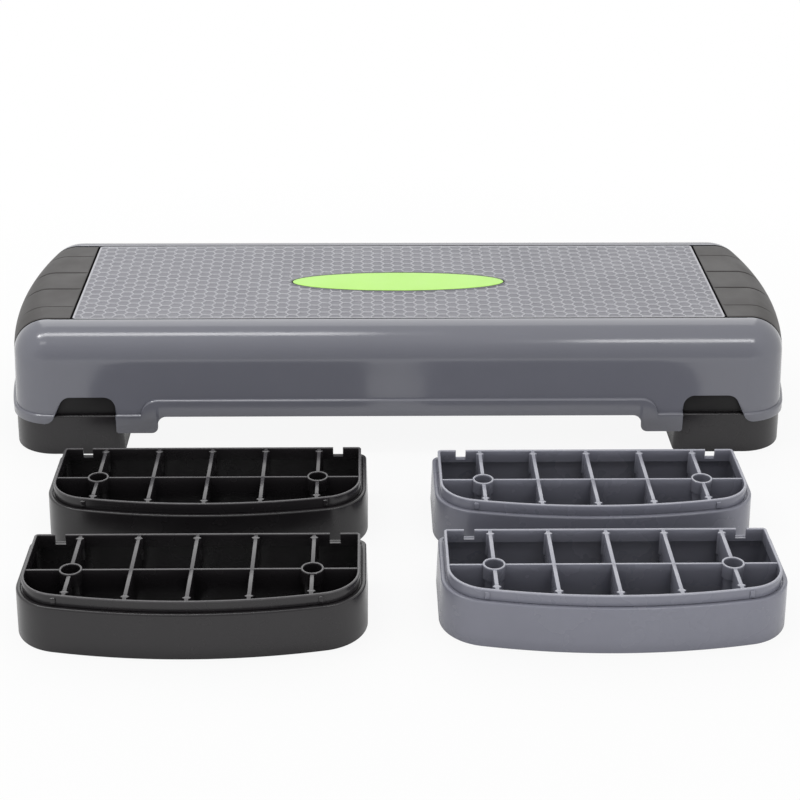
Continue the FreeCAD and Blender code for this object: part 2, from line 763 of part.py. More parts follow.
def main():
    envelope = deck_block("envelope")
    shell = make_deck_shell(envelope)
    grip = make_end_grip(envelope)
    screws = make_grip_screws()
    mat = make_tread_mat()
    badge = oval("badge", ZERO, S.deck_top - S.badge_thickness, S.badge_thickness)
    riser = make_riser()
    pads = rim_strips("rubber_pads", S.pad_inset, S.pad_length)

    deck_y = deck_place()
    deck = (ZERO, deck_y)
    node("deck_shell", [shell], deck)
    node("tread_mat", [mat], deck)
    node("badge_plate", [badge], deck)
    node("right_end_grip", [grip], deck)
    node("left_end_grip", [mirrored(grip)], deck)
    node("right_grip_screws", screws, deck)
    node("left_grip_screws", [mirrored(screw) for screw in screws], deck)

    under_end = END - S.riser_fit - S.riser_front_reach
    places = {
        "left_foot": ((-under_end, deck_y), -90),
        "right_foot": ((under_end, deck_y), 90),
        "black_rear": ((-S.black_side_place, deck_y - S.black_rear_place), 0),
        "black_front": ((-S.black_side_place, deck_y - S.black_front_place), 0),
        "grey_rear": ((S.grey_side_place, deck_y - S.grey_rear_place), 0),
        "grey_front": ((S.grey_side_place, deck_y - S.grey_front_place), 0),
    }
    for name, (place, angle) in places.items():
        node(f"{name}_riser", [riser], place, angle)
        node(f"{name}_rubber_pads", [pads], place, angle)

    doc.recompute()
    for thing in doc.Objects:
        if "Invalid" in thing.State or "Error" in thing.State:
            raise RuntimeError(f"{thing.Name} ({thing.Label}) did not build: {thing.State}")
    for piece in NODES:
        if piece.Shape.isNull() or not piece.Shape.isValid():
            raise RuntimeError(f"{piece.Label} has no valid shape")
    os.makedirs("parts", exist_ok=True)
    for piece in NODES:
        piece.Shape.exportStep(f"parts/{piece.Label}.step")
        size = piece.Shape.BoundBox
        print(f"{piece.Label}: {len(piece.Shape.Solids)} solids, {piece.Shape.Volume / 1000:.1f} cm3, "
              f"{size.XLength:.1f} x {size.YLength:.1f} x {size.ZLength:.1f} mm")


main()
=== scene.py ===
"""Aerobic step platform, dressed: moulded deck, hexagon tread, end grips and six ribbed risers."""
import math

import bmesh
import bpy
import numpy as np
from mathutils import Matrix, Vector


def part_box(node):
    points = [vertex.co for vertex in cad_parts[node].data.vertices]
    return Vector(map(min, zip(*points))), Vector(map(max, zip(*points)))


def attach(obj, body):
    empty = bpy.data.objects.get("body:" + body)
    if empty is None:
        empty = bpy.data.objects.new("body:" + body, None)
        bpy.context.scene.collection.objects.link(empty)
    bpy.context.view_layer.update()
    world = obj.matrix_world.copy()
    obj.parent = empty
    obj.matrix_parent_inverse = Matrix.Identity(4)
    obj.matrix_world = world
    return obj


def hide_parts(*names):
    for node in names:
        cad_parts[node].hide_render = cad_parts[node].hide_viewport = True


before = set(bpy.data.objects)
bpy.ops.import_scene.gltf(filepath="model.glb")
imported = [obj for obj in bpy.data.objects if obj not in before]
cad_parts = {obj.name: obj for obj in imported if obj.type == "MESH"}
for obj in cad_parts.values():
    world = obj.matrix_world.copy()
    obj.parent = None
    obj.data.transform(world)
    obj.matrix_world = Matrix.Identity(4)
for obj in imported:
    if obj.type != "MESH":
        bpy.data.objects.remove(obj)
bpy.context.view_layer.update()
MM = 0.001
BOTH = (-1, 1)
QUARTER = math.pi / 2
FINE = 0.1
TINY = 1e-6

# Deck sizes in millimetres, about the middle of the deck
HALF_LENGTH = 456.0
HALF_DEPTH = 166.0
TOP = 148.0
END_RADIUS = 610.0
CORNER_RADIUS = 48.0
SHOULDER_RADIUS = 40.0
LEVEL = 48.0
DRAFT_DEGREES = 3.0
DRAFT_ANGLE = math.radians(DRAFT_DEGREES)
DRAFT = math.tan(DRAFT_ANGLE)
GRIP_HALF = 117.3
RECESS_HALF = 120.2
GRIP_EDGE = 375.0
SEAT = 2.7

ARC_X = HALF_LENGTH - END_RADIUS
CORNER_Y = HALF_DEPTH - CORNER_RADIUS
TURN = math.asin(CORNER_Y / (END_RADIUS - CORNER_RADIUS))
CORNER_X = ARC_X + (END_RADIUS - CORNER_RADIUS) * math.cos(TURN)
SHOULDER_Z = TOP - SHOULDER_RADIUS
SHOULDER_INSET = SHOULDER_RADIUS / math.cos(DRAFT_ANGLE) + (SHOULDER_Z - LEVEL) * DRAFT

# Keys that locate the risers, in the deck's sockets and under each riser
KEY_PLACE = 135.0
KEY_HALF = 4.75


# Mesh helpers
def loft(rings, caps=False):
    """Closed rings of equal length joined into quads, with a face over the first and last if asked."""
    count = len(rings[0])
    faces = []
    for k in range(len(rings) - 1):
        for i in range(count):
            j = (i + 1) % count
            faces.append((k * count + i, k * count + j, (k + 1) * count + j, (k + 1) * count + i))
    if caps:
        faces.append(tuple(range(count)))
        faces.append(tuple(range((len(rings) - 1) * count, len(rings) * count)))
    return np.vstack(rings), faces


def sheet(grid):
    """A grid of points joined into quads."""
    rows, columns_across = grid.shape[:2]
    faces = []
    for r in range(rows - 1):
        for c in range(columns_across - 1):
            a = r * columns_across + c
            faces.append((a, a + 1, a + columns_across + 1, a + columns_across))
    return grid.reshape(-1, 3), faces


def join(*pieces):
    """Several (points, faces) as one."""
    points = []
    faces = []
    start = 0
    for some, its_faces in pieces:
        some = np.asarray(some, float).reshape(-1, 3)
        points.append(some)
        faces += [tuple(start + i for i in face) for face in its_faces]
        start += len(some)
    return np.vstack(points), faces


def mesh_of(name, points, faces, sharp, weld):
    """A mesh in metres from points in millimetres, welded, turned outwards and smooth up to an angle."""
    mesh = bpy.data.meshes.new(name)
    mesh.from_pydata((np.asarray(points) * MM).tolist(), [], faces)
    tidy = bmesh.new()
    tidy.from_mesh(mesh)
    bmesh.ops.remove_doubles(tidy, verts=tidy.verts, dist=weld)
    bmesh.ops.dissolve_degenerate(tidy, edges=tidy.edges, dist=weld)
    bmesh.ops.recalc_face_normals(tidy, faces=tidy.faces)
    tidy.to_mesh(mesh)
    tidy.free()
    mesh.shade_smooth()
    mesh.set_sharp_from_angle(angle=math.radians(sharp))
    return mesh


BEVEL_ANGLE = math.radians(35)
BEVEL_SEGMENTS = 2


def bevelled(points, faces, width):
    """The same solids with their sharp edges rounded."""
    mesh = bpy.data.meshes.new("bevelled")
    mesh.from_pydata(np.asarray(points).tolist(), [], faces)
    tidy = bmesh.new()
    tidy.from_mesh(mesh)
    bpy.data.meshes.remove(mesh)
    bmesh.ops.recalc_face_normals(tidy, faces=tidy.faces)
    edges = [edge for edge in tidy.edges if edge.calc_face_angle(0.0) > BEVEL_ANGLE]
    bmesh.ops.bevel(tidy, geom=edges, offset=width, segments=BEVEL_SEGMENTS, profile=0.5, affect="EDGES",
                    clamp_overlap=True)
    tidy.verts.index_update()
    result = [tuple(v.co) for v in tidy.verts], [tuple(v.index for v in f.verts) for f in tidy.faces]
    tidy.free()
    return result


def extrude(outline, axis, low, high):
    """A flat outline drawn out along an axis: 0 for x, 1 for y, 2 for z."""
    rings = [np.insert(np.asarray(outline, float), axis, level, axis=1) for level in (low, high)]
    return loft(rings, caps=True)


def plate(outline, axis, middle, thickness):
    """A flat outline drawn out evenly about a place on an axis."""
    return extrude(outline, axis, middle - thickness / 2, middle + thickness / 2)


def arc(x, y, radius, angles):
    """Points on a circle, at angles."""
    return [(x + radius * math.cos(angle), y + radius * math.sin(angle)) for angle in angles]


def circle(x, y, radius, count):
    return np.array(arc(x, y, radius, np.arange(count) * 2 * math.pi / count))


def box_plan(x, y, half_x, half_y):
    """Corners of an upright box's plan, in order round it."""
    signs = ((-1, -1), (1, -1), (1, 1), (-1, 1))
    return [(x + sign_x * half_x, y + sign_y * half_y) for sign_x, sign_y in signs]


def at_height(flat, z):
    """Plan points at a height, which may be one for all."""
    return np.column_stack([flat, np.broadcast_to(z, len(flat))])


def put(name, form, material, slot, body, nodes, matrix, sharp=32.0, weld=2e-6):
    """A piece from points and faces, in its place and on its body; the slot argument is not used."""
    mesh = mesh_of(name, *form, sharp, weld)
    obj = bpy.data.objects.new(name, mesh)
    bpy.context.scene.collection.objects.link(obj)
    mesh.materials.append(material)
    obj.matrix_world = matrix
    bpy.context.view_layer.update()
    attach(obj, body)
    if nodes:
        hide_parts(*nodes)


def recolour(node, material):
    """A material for a piece that stays as it is in the CAD."""
    node.data.materials.clear()
    node.data.materials.append(material)


# Materials
WHITE = (1.0, 1.0, 1.0, 1.0)
NOISE_RANGE = (0.3, 0.7)
FLOW_SCALE = 7.0
FLOW_STOPS = (0.3, 0.55, 0.75)
GLOSS_SCALE = 23.0
# Heights in metres above which riser tops turn lighter: a painted highlight for the sheen on rib tops and
# rims
SHEEN_TOP_Z = (0.0572, 0.0580)
SHEEN_SHADE = 0.92
STEEL_MARKS = {"Scale": 900.0, "Distortion": 2.0}
STEEL_TONE_SCALE = 300.0
STEEL_GLOSS_SCALE = 160.0
STEEL_GLOSS = (0.26, 0.40)
STEEL_SHADE = 0.85


def linear(*values):
    """Scene colour from screen values of 0 to 255."""
    shares = [value / 255 for value in values]
    return [s / 12.92 if s <= 0.04045 else ((s + 0.055) / 1.055) ** 2.4 for s in shares] + [1.0]


def shaded(colour, share):
    return [channel * share for channel in colour[:3]] + [1.0]


class Nodes:
    """The nodes of a material or a world, made and linked by short calls."""

    def __init__(self, owner):
        owner.use_nodes = True
        self.tree = owner.node_tree
        self.places = self.add("ShaderNodeTexCoord").outputs

    def add(self, kind, values=(), **settings):
        node = self.tree.nodes.new(kind)
        for key, value in settings.items():
            setattr(node, key, value)
        for key, value in dict(values).items():
            node.inputs[key].default_value = value
        return node

    def link(self, source, target):
        self.tree.links.new(source, target)

    def noise(self, scale, detail=3.0, roughness=0.55):
        node = self.add("ShaderNodeTexNoise", {"Scale": scale, "Detail": detail, "Roughness": roughness})
        self.link(self.places["Object"], node.inputs["Vector"])
        return node.outputs["Fac"]

    def ranged(self, source, start, end, low=0.0, high=1.0):
        """A value that goes from low to high while the source goes from start to end."""
        limits = {"From Min": start, "From Max": end, "To Min": low, "To Max": high}
        node = self.add("ShaderNodeMapRange", limits)
        self.link(source, node.inputs["Value"])
        return node.outputs["Result"]

    def colours(self, source, stops, tones):
        """A ramp of tones over a noise, with a stop for each."""
        node = self.add("ShaderNodeValToRGB")
        ramp = node.color_ramp
        while len(ramp.elements) < len(stops):
            ramp.elements.new(0.5)
        for element, stop, tone in zip(ramp.elements, stops, tones):
            element.position = stop
            element.color = tone
        self.link(source, node.inputs["Fac"])
        return node.outputs["Color"]

    def part(self, place, axis):
        """One axis of a place."""
        node = self.add("ShaderNodeSeparateXYZ")
        self.link(self.places[place], node.inputs["Vector"])
        return node.outputs[axis]

    def over(self, first, second, share):
        """One colour laid over another by a share."""
        node = self.add("ShaderNodeMix", data_type="RGBA")
        self.link(share, node.inputs[0])
        self.link(first, node.inputs[6])
        self.link(second, node.inputs[7])
        return node.outputs[2]

    def bump(self, height, strength, distance):
        node = self.add("ShaderNodeBump", {"Strength": strength, "Distance": distance})
        self.link(height, node.inputs["Height"])
        return node.outputs["Normal"]

    def maths(self, operation, first, second):
        node = self.add("ShaderNodeMath", operation=operation)
        self.link(first, node.inputs[0])
        self.link(second, node.inputs[1])
        return node.outputs["Value"]

    def rays(self, *names):
        """1 for the named kinds of ray, 0 for the rest."""
        path = self.add("ShaderNodeLightPath").outputs
        value = path[names[0]]
        for name in names[1:]:
            value = self.maths("MAXIMUM", value, path[name])
        return value

    def mixed(self, share, first, second):
        """Two shaders mixed by a share."""
        node = self.add("ShaderNodeMixShader")
        self.link(share, node.inputs["Fac"])
        self.link(first, node.inputs[1])
        self.link(second, node.inputs[2])
        return node.outputs["Shader"]


def moulded(name, colour, roughness, spread=0.05, mottle=0.06, grain=900.0, grain_depth=0.00006,
            strength=0.25, specular=0.5, painted_sheen=None):
    """Moulded plastic or rubber: flow marks, uneven gloss, a fine grain and, if asked, a painted sheen on
    the tops.
    """
    material = bpy.data.materials.new(name)
    nodes = Nodes(material)
    shader = nodes.tree.nodes["Principled BSDF"].inputs
    flow = nodes.noise(FLOW_SCALE, detail=4.0, roughness=0.6)
    dark = shaded(colour, 1 - mottle)
    light = shaded(colour, 1 + mottle)
    tone = nodes.colours(flow, FLOW_STOPS, (dark, colour, light))
    # Painted highlight: above the given height the colour turns lighter, standing in for sheen on the tops
    if painted_sheen is not None:
        sheen_tone = nodes.colours(flow, NOISE_RANGE, (shaded(painted_sheen, SHEEN_SHADE), painted_sheen))
        tone = nodes.over(tone, sheen_tone, nodes.ranged(nodes.part("Object", "Z"), *SHEEN_TOP_Z))
    nodes.link(tone, shader["Base Color"])
    gloss = nodes.ranged(nodes.noise(GLOSS_SCALE), *NOISE_RANGE, roughness - spread, roughness + spread)
    nodes.link(gloss, shader["Roughness"])
    nodes.link(nodes.bump(nodes.noise(grain, roughness=0.6), strength, grain_depth), shader["Normal"])
    shader["Specular IOR Level"].default_value = specular
    return material


def brushed(name, colour):
    """Plated steel with fine turned marks."""
    material = bpy.data.materials.new(name)
    nodes = Nodes(material)
    shader = nodes.tree.nodes["Principled BSDF"].inputs
    marks = nodes.add("ShaderNodeTexWave", STEEL_MARKS, wave_type="RINGS", rings_direction="Z")
    nodes.link(nodes.places["Object"], marks.inputs["Vector"])
    tone = nodes.colours(nodes.noise(STEEL_TONE_SCALE), NOISE_RANGE, (shaded(colour, STEEL_SHADE), colour))
    nodes.link(tone, shader["Base Color"])
    gloss = nodes.ranged(nodes.noise(STEEL_GLOSS_SCALE), *NOISE_RANGE, *STEEL_GLOSS)
    nodes.link(gloss, shader["Roughness"])
    nodes.link(nodes.bump(marks.outputs["Fac"], 0.2, 0.00005), shader["Normal"])
    shader["Metallic"].default_value = 1.0
    return material


SHELL = moulded("shell_grey", linear(106, 107, 116), 0.15, 0.03, mottle=0.03, grain=1500.0,
                grain_depth=0.00002, strength=0.15, specular=0.7)
TREAD = moulded("tread_grey", linear(124, 124, 130), 0.55, mottle=0.04, grain=1100.0, grain_depth=0.00010)
# Lighter than the tread: a painted highlight for the light caught by the raised lines and the tread's
# raised border
LIT_LINES = moulded("tread_line_painted_highlight", linear(173, 173, 179), 0.40, mottle=0.04, grain=1100.0,
                grain_depth=0.00008)
BADGE = moulded("badge_green", linear(178, 230, 112), 0.42, mottle=0.03, grain=500.0,
                grain_depth=0.00003, specular=0.35)
GRIP = moulded("grip_dark", linear(50, 47, 46), 0.50, grain=700.0, grain_depth=0.00012, strength=0.35,
               specular=0.36)
# The second, lighter colour of the riser materials is a painted highlight on their tops
BLACK = moulded("riser_black", linear(33, 31, 33), 0.25, mottle=0.08, grain=1000.0, grain_depth=0.00004,
                painted_sheen=linear(66, 64, 66))
# Near black plates in the notches: painted shade for the dark inside of the deck behind them
NOTCH_SHADE = moulded("notch_shade_black", linear(19, 18, 19), 0.5, mottle=0.08, grain=1000.0, grain_depth=0.00004,
                specular=0.3)
GREY = moulded("riser_grey", linear(123, 124, 135), 0.26, mottle=0.04, grain=1000.0, grain_depth=0.00004,
               painted_sheen=linear(160, 161, 171))
RUBBER = moulded("pad_rubber", linear(28, 28, 29), 0.75, mottle=0.12, grain=800.0, grain_depth=0.00014,
                 specular=0.2)
# Near black and almost unreflecting: painted shade for the grooves round the tread and the grips
GROOVE_SHADE = moulded("groove_shade_black", linear(14, 14, 15), 0.85, mottle=0.12, grain=800.0, grain_depth=0.00010,
               specular=0.05)
STEEL = brushed("screw_steel", linear(196, 197, 200))


# Deck plan
def end_x(inset, y):
    """How far one end of the deck reaches at y, with the plan drawn in by inset."""
    y = np.abs(np.asarray(y, float))
    bow = END_RADIUS - inset
    small = CORNER_RADIUS - inset
    on_bow = ARC_X + np.sqrt(np.maximum(bow ** 2 - y ** 2, 0.0))
    on_corner = CORNER_X + np.sqrt(np.maximum(small ** 2 - (y - CORNER_Y) ** 2, 0.0))
    return np.where(y <= bow * math.sin(TURN), on_bow, on_corner)


def corner_points(inset, shares):
    """Points from the end of the straight side, round the corner, to the edge of the grip's recess."""
    bow = END_RADIUS - inset
    small = CORNER_RADIUS - inset
    if RECESS_HALF < bow * math.sin(TURN):
        last = TURN
        rest = bow * (TURN - math.asin(RECESS_HALF / bow))
    else:
        last = math.asin((RECESS_HALF - CORNER_Y) / small)
        rest = 0.0
    bend = small * (QUARTER - last)
    points = []
    for share in shares:
        along = share * (bend + rest)
        if along <= bend:
            points += arc(CORNER_X, CORNER_Y, small, [QUARTER - along / small])
        else:
            points += arc(ARC_X, 0.0, bow, [TURN - (along - bend) / bow])
    return np.array(points)


ROUNDING_STEPS = 12


def rounded_line(points, radii):
    """A line through points, in x and z, with its corners rounded."""
    result = [points[0]]
    for before, here, after, radius in zip(points, points[1:], points[2:], radii):
        here = np.array(here)
        back = np.array(before) - here
        on = np.array(after) - here
        back = back / np.linalg.norm(back)
        on = on / np.linalg.norm(on)
        half = math.acos(np.clip(back @ on, -1, 1)) / 2
        reach = radius / math.tan(half)
        middle = here + (back + on) / np.linalg.norm(back + on) * radius / math.sin(half)
        start = here + back * reach - middle
        finish = here + on * reach - middle
        sweep = math.copysign(math.pi - 2 * half, start[0] * finish[1] - start[1] * finish[0])
        for k in range(ROUNDING_STEPS + 1):
            angle = sweep * k / ROUNDING_STEPS
            turned = (start[0] * math.cos(angle) - start[1] * math.sin(angle),
                      start[0] * math.sin(angle) + start[1] * math.cos(angle))
            result.append(tuple(middle + turned))
    result.append(points[-1])
    return np.array(result)


# Edges along the deck's side, in x and z: top of the lip band, lower edge of the skirt, and the notch
NOTCH_X = 323.0
NOTCH_TOP = 70.5
LIP_HIGH = 68.5
LIP_LOW = 50.0
SKIRT_LOW = 27.5
END_LOW = 39.0
PAST_END = 470.0
LIP_TOP = rounded_line([(0, LIP_HIGH), (290.5, LIP_HIGH), (294.5, LIP_LOW), (PAST_END, LIP_LOW)], (20, 0))
SKIRT = rounded_line([(0, LEVEL), (275.3, LEVEL), (275.7, SKIRT_LOW), (NOTCH_X, SKIRT_LOW),
                      (NOTCH_X, 34)], (10, 7.5, 3))
NOTCH = rounded_line([(NOTCH_X, 56), (NOTCH_X, NOTCH_TOP), (381.8, NOTCH_TOP), (396.9, END_LOW),
                      (PAST_END, END_LOW)], (13, 13, 13))


def lip_top(x):
    return np.interp(np.abs(x), LIP_TOP[:, 0], LIP_TOP[:, 1])


def lower_edge(x, past_notch):
    x = np.abs(x)
    skirt = np.interp(x, SKIRT[:-1, 0], SKIRT[:-1, 1])
    notch = np.interp(x, NOTCH[1:, 0], NOTCH[1:, 1])
    return np.where((x > NOTCH_X + TINY) | past_notch, notch, skirt)


# Columns of the deck's loft, for a quarter and then all round
LEAST_APART = 0.12


def thinned(places):
    """The places in order, without those that nearly repeat the one before."""
    kept = [0.0]
    for place in sorted(places):
        if place - kept[-1] > LEAST_APART:
            kept.append(place)
    return np.array(kept)


SKIRT_COLUMNS = [55, 110, 165, 215, 245, 308, 315, *LIP_TOP[:, 0], *SKIRT[:, 0]]
NOTCH_COLUMNS = [345, 352, 360, *NOTCH[:, 0]]
BEFORE_NOTCH = thinned(x for x in SKIRT_COLUMNS if x < NOTCH_X - FINE)
PAST_NOTCH = thinned(x for x in NOTCH_COLUMNS if NOTCH_X + FINE < x < CORNER_X - 2 * FINE)[1:]
SIDE_X = np.concatenate([BEFORE_NOTCH, [NOTCH_X, NOTCH_X], PAST_NOTCH])
PAST = np.arange(len(SIDE_X)) > len(BEFORE_NOTCH)
CLOSE_SHARE = 0.28
CLOSE_COLUMNS = 20
OPEN_COLUMNS = 24
END_COLUMNS = 61
CORNER_SHARES = np.concatenate([np.linspace(0, CLOSE_SHARE, CLOSE_COLUMNS)[:-1],
                                np.linspace(CLOSE_SHARE, 1, OPEN_COLUMNS)])
END_Y = np.linspace(-1, 1, END_COLUMNS) * RECESS_HALF


class Columns:
    """The columns round the deck, in order, each with its place in the plan for any inset."""

    def __init__(self):
        half = [("side", i) for i in range(len(SIDE_X))]
        half += [("corner", i) for i in range(len(CORNER_SHARES))]
        right = [(kind, i, -1) for kind, i in half] + [("end", i, 0) for i in range(len(END_Y))]
        right += [(kind, i, 1) for kind, i in reversed(half)]
        left = [(kind, i, row) for kind, i, row in reversed(right)]
        self.items = [(kind, i, row, 1) for kind, i, row in right[:-1]]
        self.items += [(kind, i, row, -1) for kind, i, row in left[:-1]]
        self.under_grip = np.array([kind == "end" for kind, i, row, hand in self.items])
        self.past = np.array([kind != "side" or PAST[i] for kind, i, row, hand in self.items])

    def plan(self, inset):
        corner = corner_points(inset, CORNER_SHARES)
        ends = end_x(inset, END_Y)
        points = []
        for kind, i, row, hand in self.items:
            if kind == "side":
                x, y = SIDE_X[i], row * (HALF_DEPTH - inset)
            elif kind == "corner":
                x, y = corner[i, 0], row * corner[i, 1]
            else:
                x, y = ends[i], END_Y[i]
            points.append((hand * x, y))
        return np.array(points)


columns = Columns()


def ring(insets, heights):
    """Points of one ring from an inset and a height for each column."""
    insets = np.broadcast_to(np.round(insets, 4), columns.under_grip.shape)
    points = np.zeros((len(insets), 2))
    for inset in np.unique(insets):
        chosen = insets == inset
        points[chosen] = columns.plan(inset)[chosen]
    return at_height(points, heights)


# Walls, edges and lip of the deck moulding
RECESS_INSET = 45.6
RECESS_EDGE = 0.3
RECESS_DEPTH = 2.5
SHOULDER_STEPS = 19
WALL_STEP = 0.02
WALL_SHARES = (0.2, 0.4, 0.6, 0.8, 0.92)
WALL_END = 0.9
LIP = 3.0
LIP_LEAST = 0.4
LIP_LEDGE = 0.9
LIP_FACE = 2.6
LIP_BACK = -0.6
FLANGE = 2.0
# The lip's crowned slope: share of its reach, its drop, and the height over a plain edge without a lip
LIP_SLOPE = ((0.278, 0.153, 0.62), (0.539, 0.333, 0.54), (0.780, 0.539, 0.46), (1.0, 0.767, 0.38))
SIDE_WALL = 3.0
END_WALL = 5.4
SIDE_BEVEL = 22.0
END_BEVEL = 29.0
CEILING = TOP - 6.0


def wall_out(z):
    """Inset of the drafted wall at a height."""
    return (z - LEVEL) * DRAFT


def wall_inset(z):
    """The same in even steps, so that columns share their plans."""
    return np.floor(wall_out(z) / WALL_STEP) * WALL_STEP


def make_deck():
    """Deck moulding, hollow: recessed top, round shoulder, drafted wall, lip band, skirts and notches."""
    under = columns.under_grip
    seat = np.where(under, SEAT, 0.0)
    places = columns.plan(-LIP)[:, 0]
    low = lower_edge(places, columns.past)
    top = lip_top(places)
    lipped = low < top - LIP_LEAST
    foot = np.where(lipped, top, low + 5 * FINE)
    flush = wall_inset(foot)
    rings = []

    def band(inset, plain_inset, z, plain_z):
        """A ring with one inset and height where there is a lip, and others where the edge is plain."""
        rings.append(ring(np.where(lipped, inset, plain_inset), np.where(lipped, z, plain_z)))

    # Recess in the top, then the shoulder and the wall, downwards
    recess = ((RECESS_INSET, RECESS_DEPTH), (RECESS_INSET, RECESS_EDGE),
              (RECESS_INSET - RECESS_EDGE, 0.0))
    for inset, drop in recess:
        rings.append(ring(inset, TOP - np.where(under, SEAT, drop)))
    radius = SHOULDER_RADIUS - seat
    for angle in np.radians(np.linspace(90, DRAFT_DEGREES, SHOULDER_STEPS)):
        height = SHOULDER_Z + radius * math.sin(angle)
        rings.append(ring(SHOULDER_INSET - radius * math.cos(angle), height))
    start = SHOULDER_Z + SHOULDER_RADIUS * math.sin(DRAFT_ANGLE)
    for share in WALL_SHARES:
        height = start + (foot + WALL_END - start) * share
        rings.append(ring(wall_inset(height) + seat, height))
    # Lip band, with a narrow ledge and a slightly crowned slope on its top edge
    band(flush + seat, flush + seat, foot + WALL_END, foot + WALL_END)
    band(flush + seat, flush + seat, foot + 1.2 * FINE, foot + 8 * FINE)
    band(-LIP_LEDGE, flush, foot + FINE, foot + 7 * FINE)
    reach = LIP - LIP_LEDGE
    for out, drop, plain in LIP_SLOPE:
        slope = np.maximum(foot + FINE - reach * drop, low + 2 * FINE + plain / 2)
        band(-LIP_LEDGE - reach * out, flush, slope, foot + plain)
    band(-LIP, flush, np.maximum(foot - LIP_FACE, low + 2.5 * FINE), foot + 3 * FINE)
    edge = low + np.minimum(5 * FINE, (foot - low) / 3)
    band(-LIP, flush, edge, edge)
    band(2 * FINE - LIP, flush + 2 * FINE, low + FINE, low + FINE)
    band(6 * FINE - LIP, flush + 6 * FINE, low, low)
    # Inside of the lip, underside of the flange and the hollow
    wall = np.where(under, END_WALL, SIDE_WALL)
    bevel = np.where(under, END_BEVEL, SIDE_BEVEL)
    band(LIP_BACK, flush + SIDE_WALL - 4 * FINE, low, low)
    band(LIP_BACK, flush + SIDE_WALL - 2 * FINE, np.maximum(foot - FLANGE, low), low + FINE)
    band(flush + wall, flush + SIDE_WALL, foot - FLANGE, low + 2 * FINE)
    for share in (0.5, 1.0):
        height = foot + (CEILING - bevel - foot) * share
        rings.append(ring(wall_inset(height) + wall, height))
    rings.append(ring(np.round(wall_out(CEILING), 2) + wall + bevel, CEILING))
    return loft(rings, caps=True)


# Ribs and sockets under the deck
RIB = 3.0
RIB_BAYS = 7
RIB_FOOT = 86.0
RIB_TRIM = 0.4
RIB_INSET = 2.4
RIB_SHOULDER = 120.0
RIB_BEVEL = 0.5
LONG_RIB_Y = 46.0
LONG_RIB_INSET = 5.0
LONG_RIB_SHOULDER = 112.0
SOCKET_X = 307.1
SOCKET_ROOF = 61.0
SOCKET_SLOPE = 10.0
SOCKET_KEY = 19.5
SOCKET_KEY_FOOT = 49.0


def make_deck_ribs():
    """Crossed ribs under the top, socket walls and deeper ribs over the fitted risers."""
    inner = HALF_DEPTH - RIB_INSET
    ceiling = CEILING + RIB_TRIM

    def across(bottom):
        side = [(inner - wall_out(bottom), bottom),
                (inner - wall_out(RIB_SHOULDER), RIB_SHOULDER + RIB_BEVEL),
                (inner - wall_out(CEILING) - SIDE_BEVEL, ceiling)]
        return side + [(-y, z) for y, z in reversed(side)]

    spacing = 2 * SOCKET_X / RIB_BAYS
    places = (np.arange(RIB_BAYS - 1) - (RIB_BAYS - 2) / 2) * spacing
    pieces = [plate(across(RIB_FOOT), 0, x, RIB) for x in places]
    reach = end_x(LONG_RIB_INSET, LONG_RIB_Y) - RIB_TRIM
    line = [(0, RIB_FOOT), (SOCKET_X - FINE, RIB_FOOT), (SOCKET_X + SOCKET_SLOPE, SOCKET_ROOF),
            (reach - wall_out(SOCKET_ROOF), SOCKET_ROOF),
            (reach - wall_out(LONG_RIB_SHOULDER), ceiling - END_BEVEL),
            (reach - wall_out(CEILING) - END_BEVEL, ceiling), (0, ceiling)]
    for hand in BOTH:
        pieces.append(plate(across(LEVEL + RIB_TRIM), 0, hand * SOCKET_X, RIB))
        for row in BOTH:
            pieces.append(plate([(hand * x, z) for x, z in line], 1, row * LONG_RIB_Y, RIB))
            middle = hand * (SOCKET_X + SOCKET_KEY / 2)
            key = box_plan(middle, row * KEY_PLACE, SOCKET_KEY / 2, KEY_HALF)
            pieces.append(extrude(key, 2, SOCKET_KEY_FOOT, RIB_FOOT))
    return bevelled(*join(*pieces), width=RIB_BEVEL)


# End grips: cross channels as place, depth and width, and the shape of the skin's rim
GRIP_CHANNELS = ((-82.0, 0.5, 0.9), (-26.5, 1.3, 1.3), (26.5, 1.3, 1.3), (82.0, 0.5, 0.9))
CHANNEL_STEPS = (0.0, 0.25, 0.5, 0.8, 1.1, 1.5, 2.2)
CHANNEL_START = 0.10
CHANNEL_LAST = 42.0
CHANNEL_FADE = 22.0
RIM_DROP = 0.75
RIM_WIDTH = 1.3
RIM_SHARE = 0.04
RIM_STEPS = (0.0, 0.25, 0.7, RIM_WIDTH)
TOP_SHARES = (0.0, 0.008, 0.02, RIM_SHARE, *np.linspace(CHANNEL_START, 1, 10))
GRIP_ANGLES = np.radians(np.linspace(88, DRAFT_DEGREES, 22))
GRIP_HEIGHTS = (95.0, 80.0, 65.0, 53.0, 50.8, 50.4)
GRIP_ROWS = np.arange(-116, 117, 4.0)
GRIP_FOOT = 51.4
GRIP_FOOT_SLOPE = 0.5
SKIN_BACK = -1.75
BASE_EDGE = 374.8
BASE_ROWS = np.linspace(-1, 1, 41) * (RECESS_HALF - FINE)
BASE_FACE = -1.7
BASE_BACK = -2.5
PEG_RADIUS = 4.5
PEG_POINTS = 24
PEG_PLACE = (394.0, 90.0)
PEG_DEPTHS = (10.2, 2.2)
PEG_BEVEL = 0.4


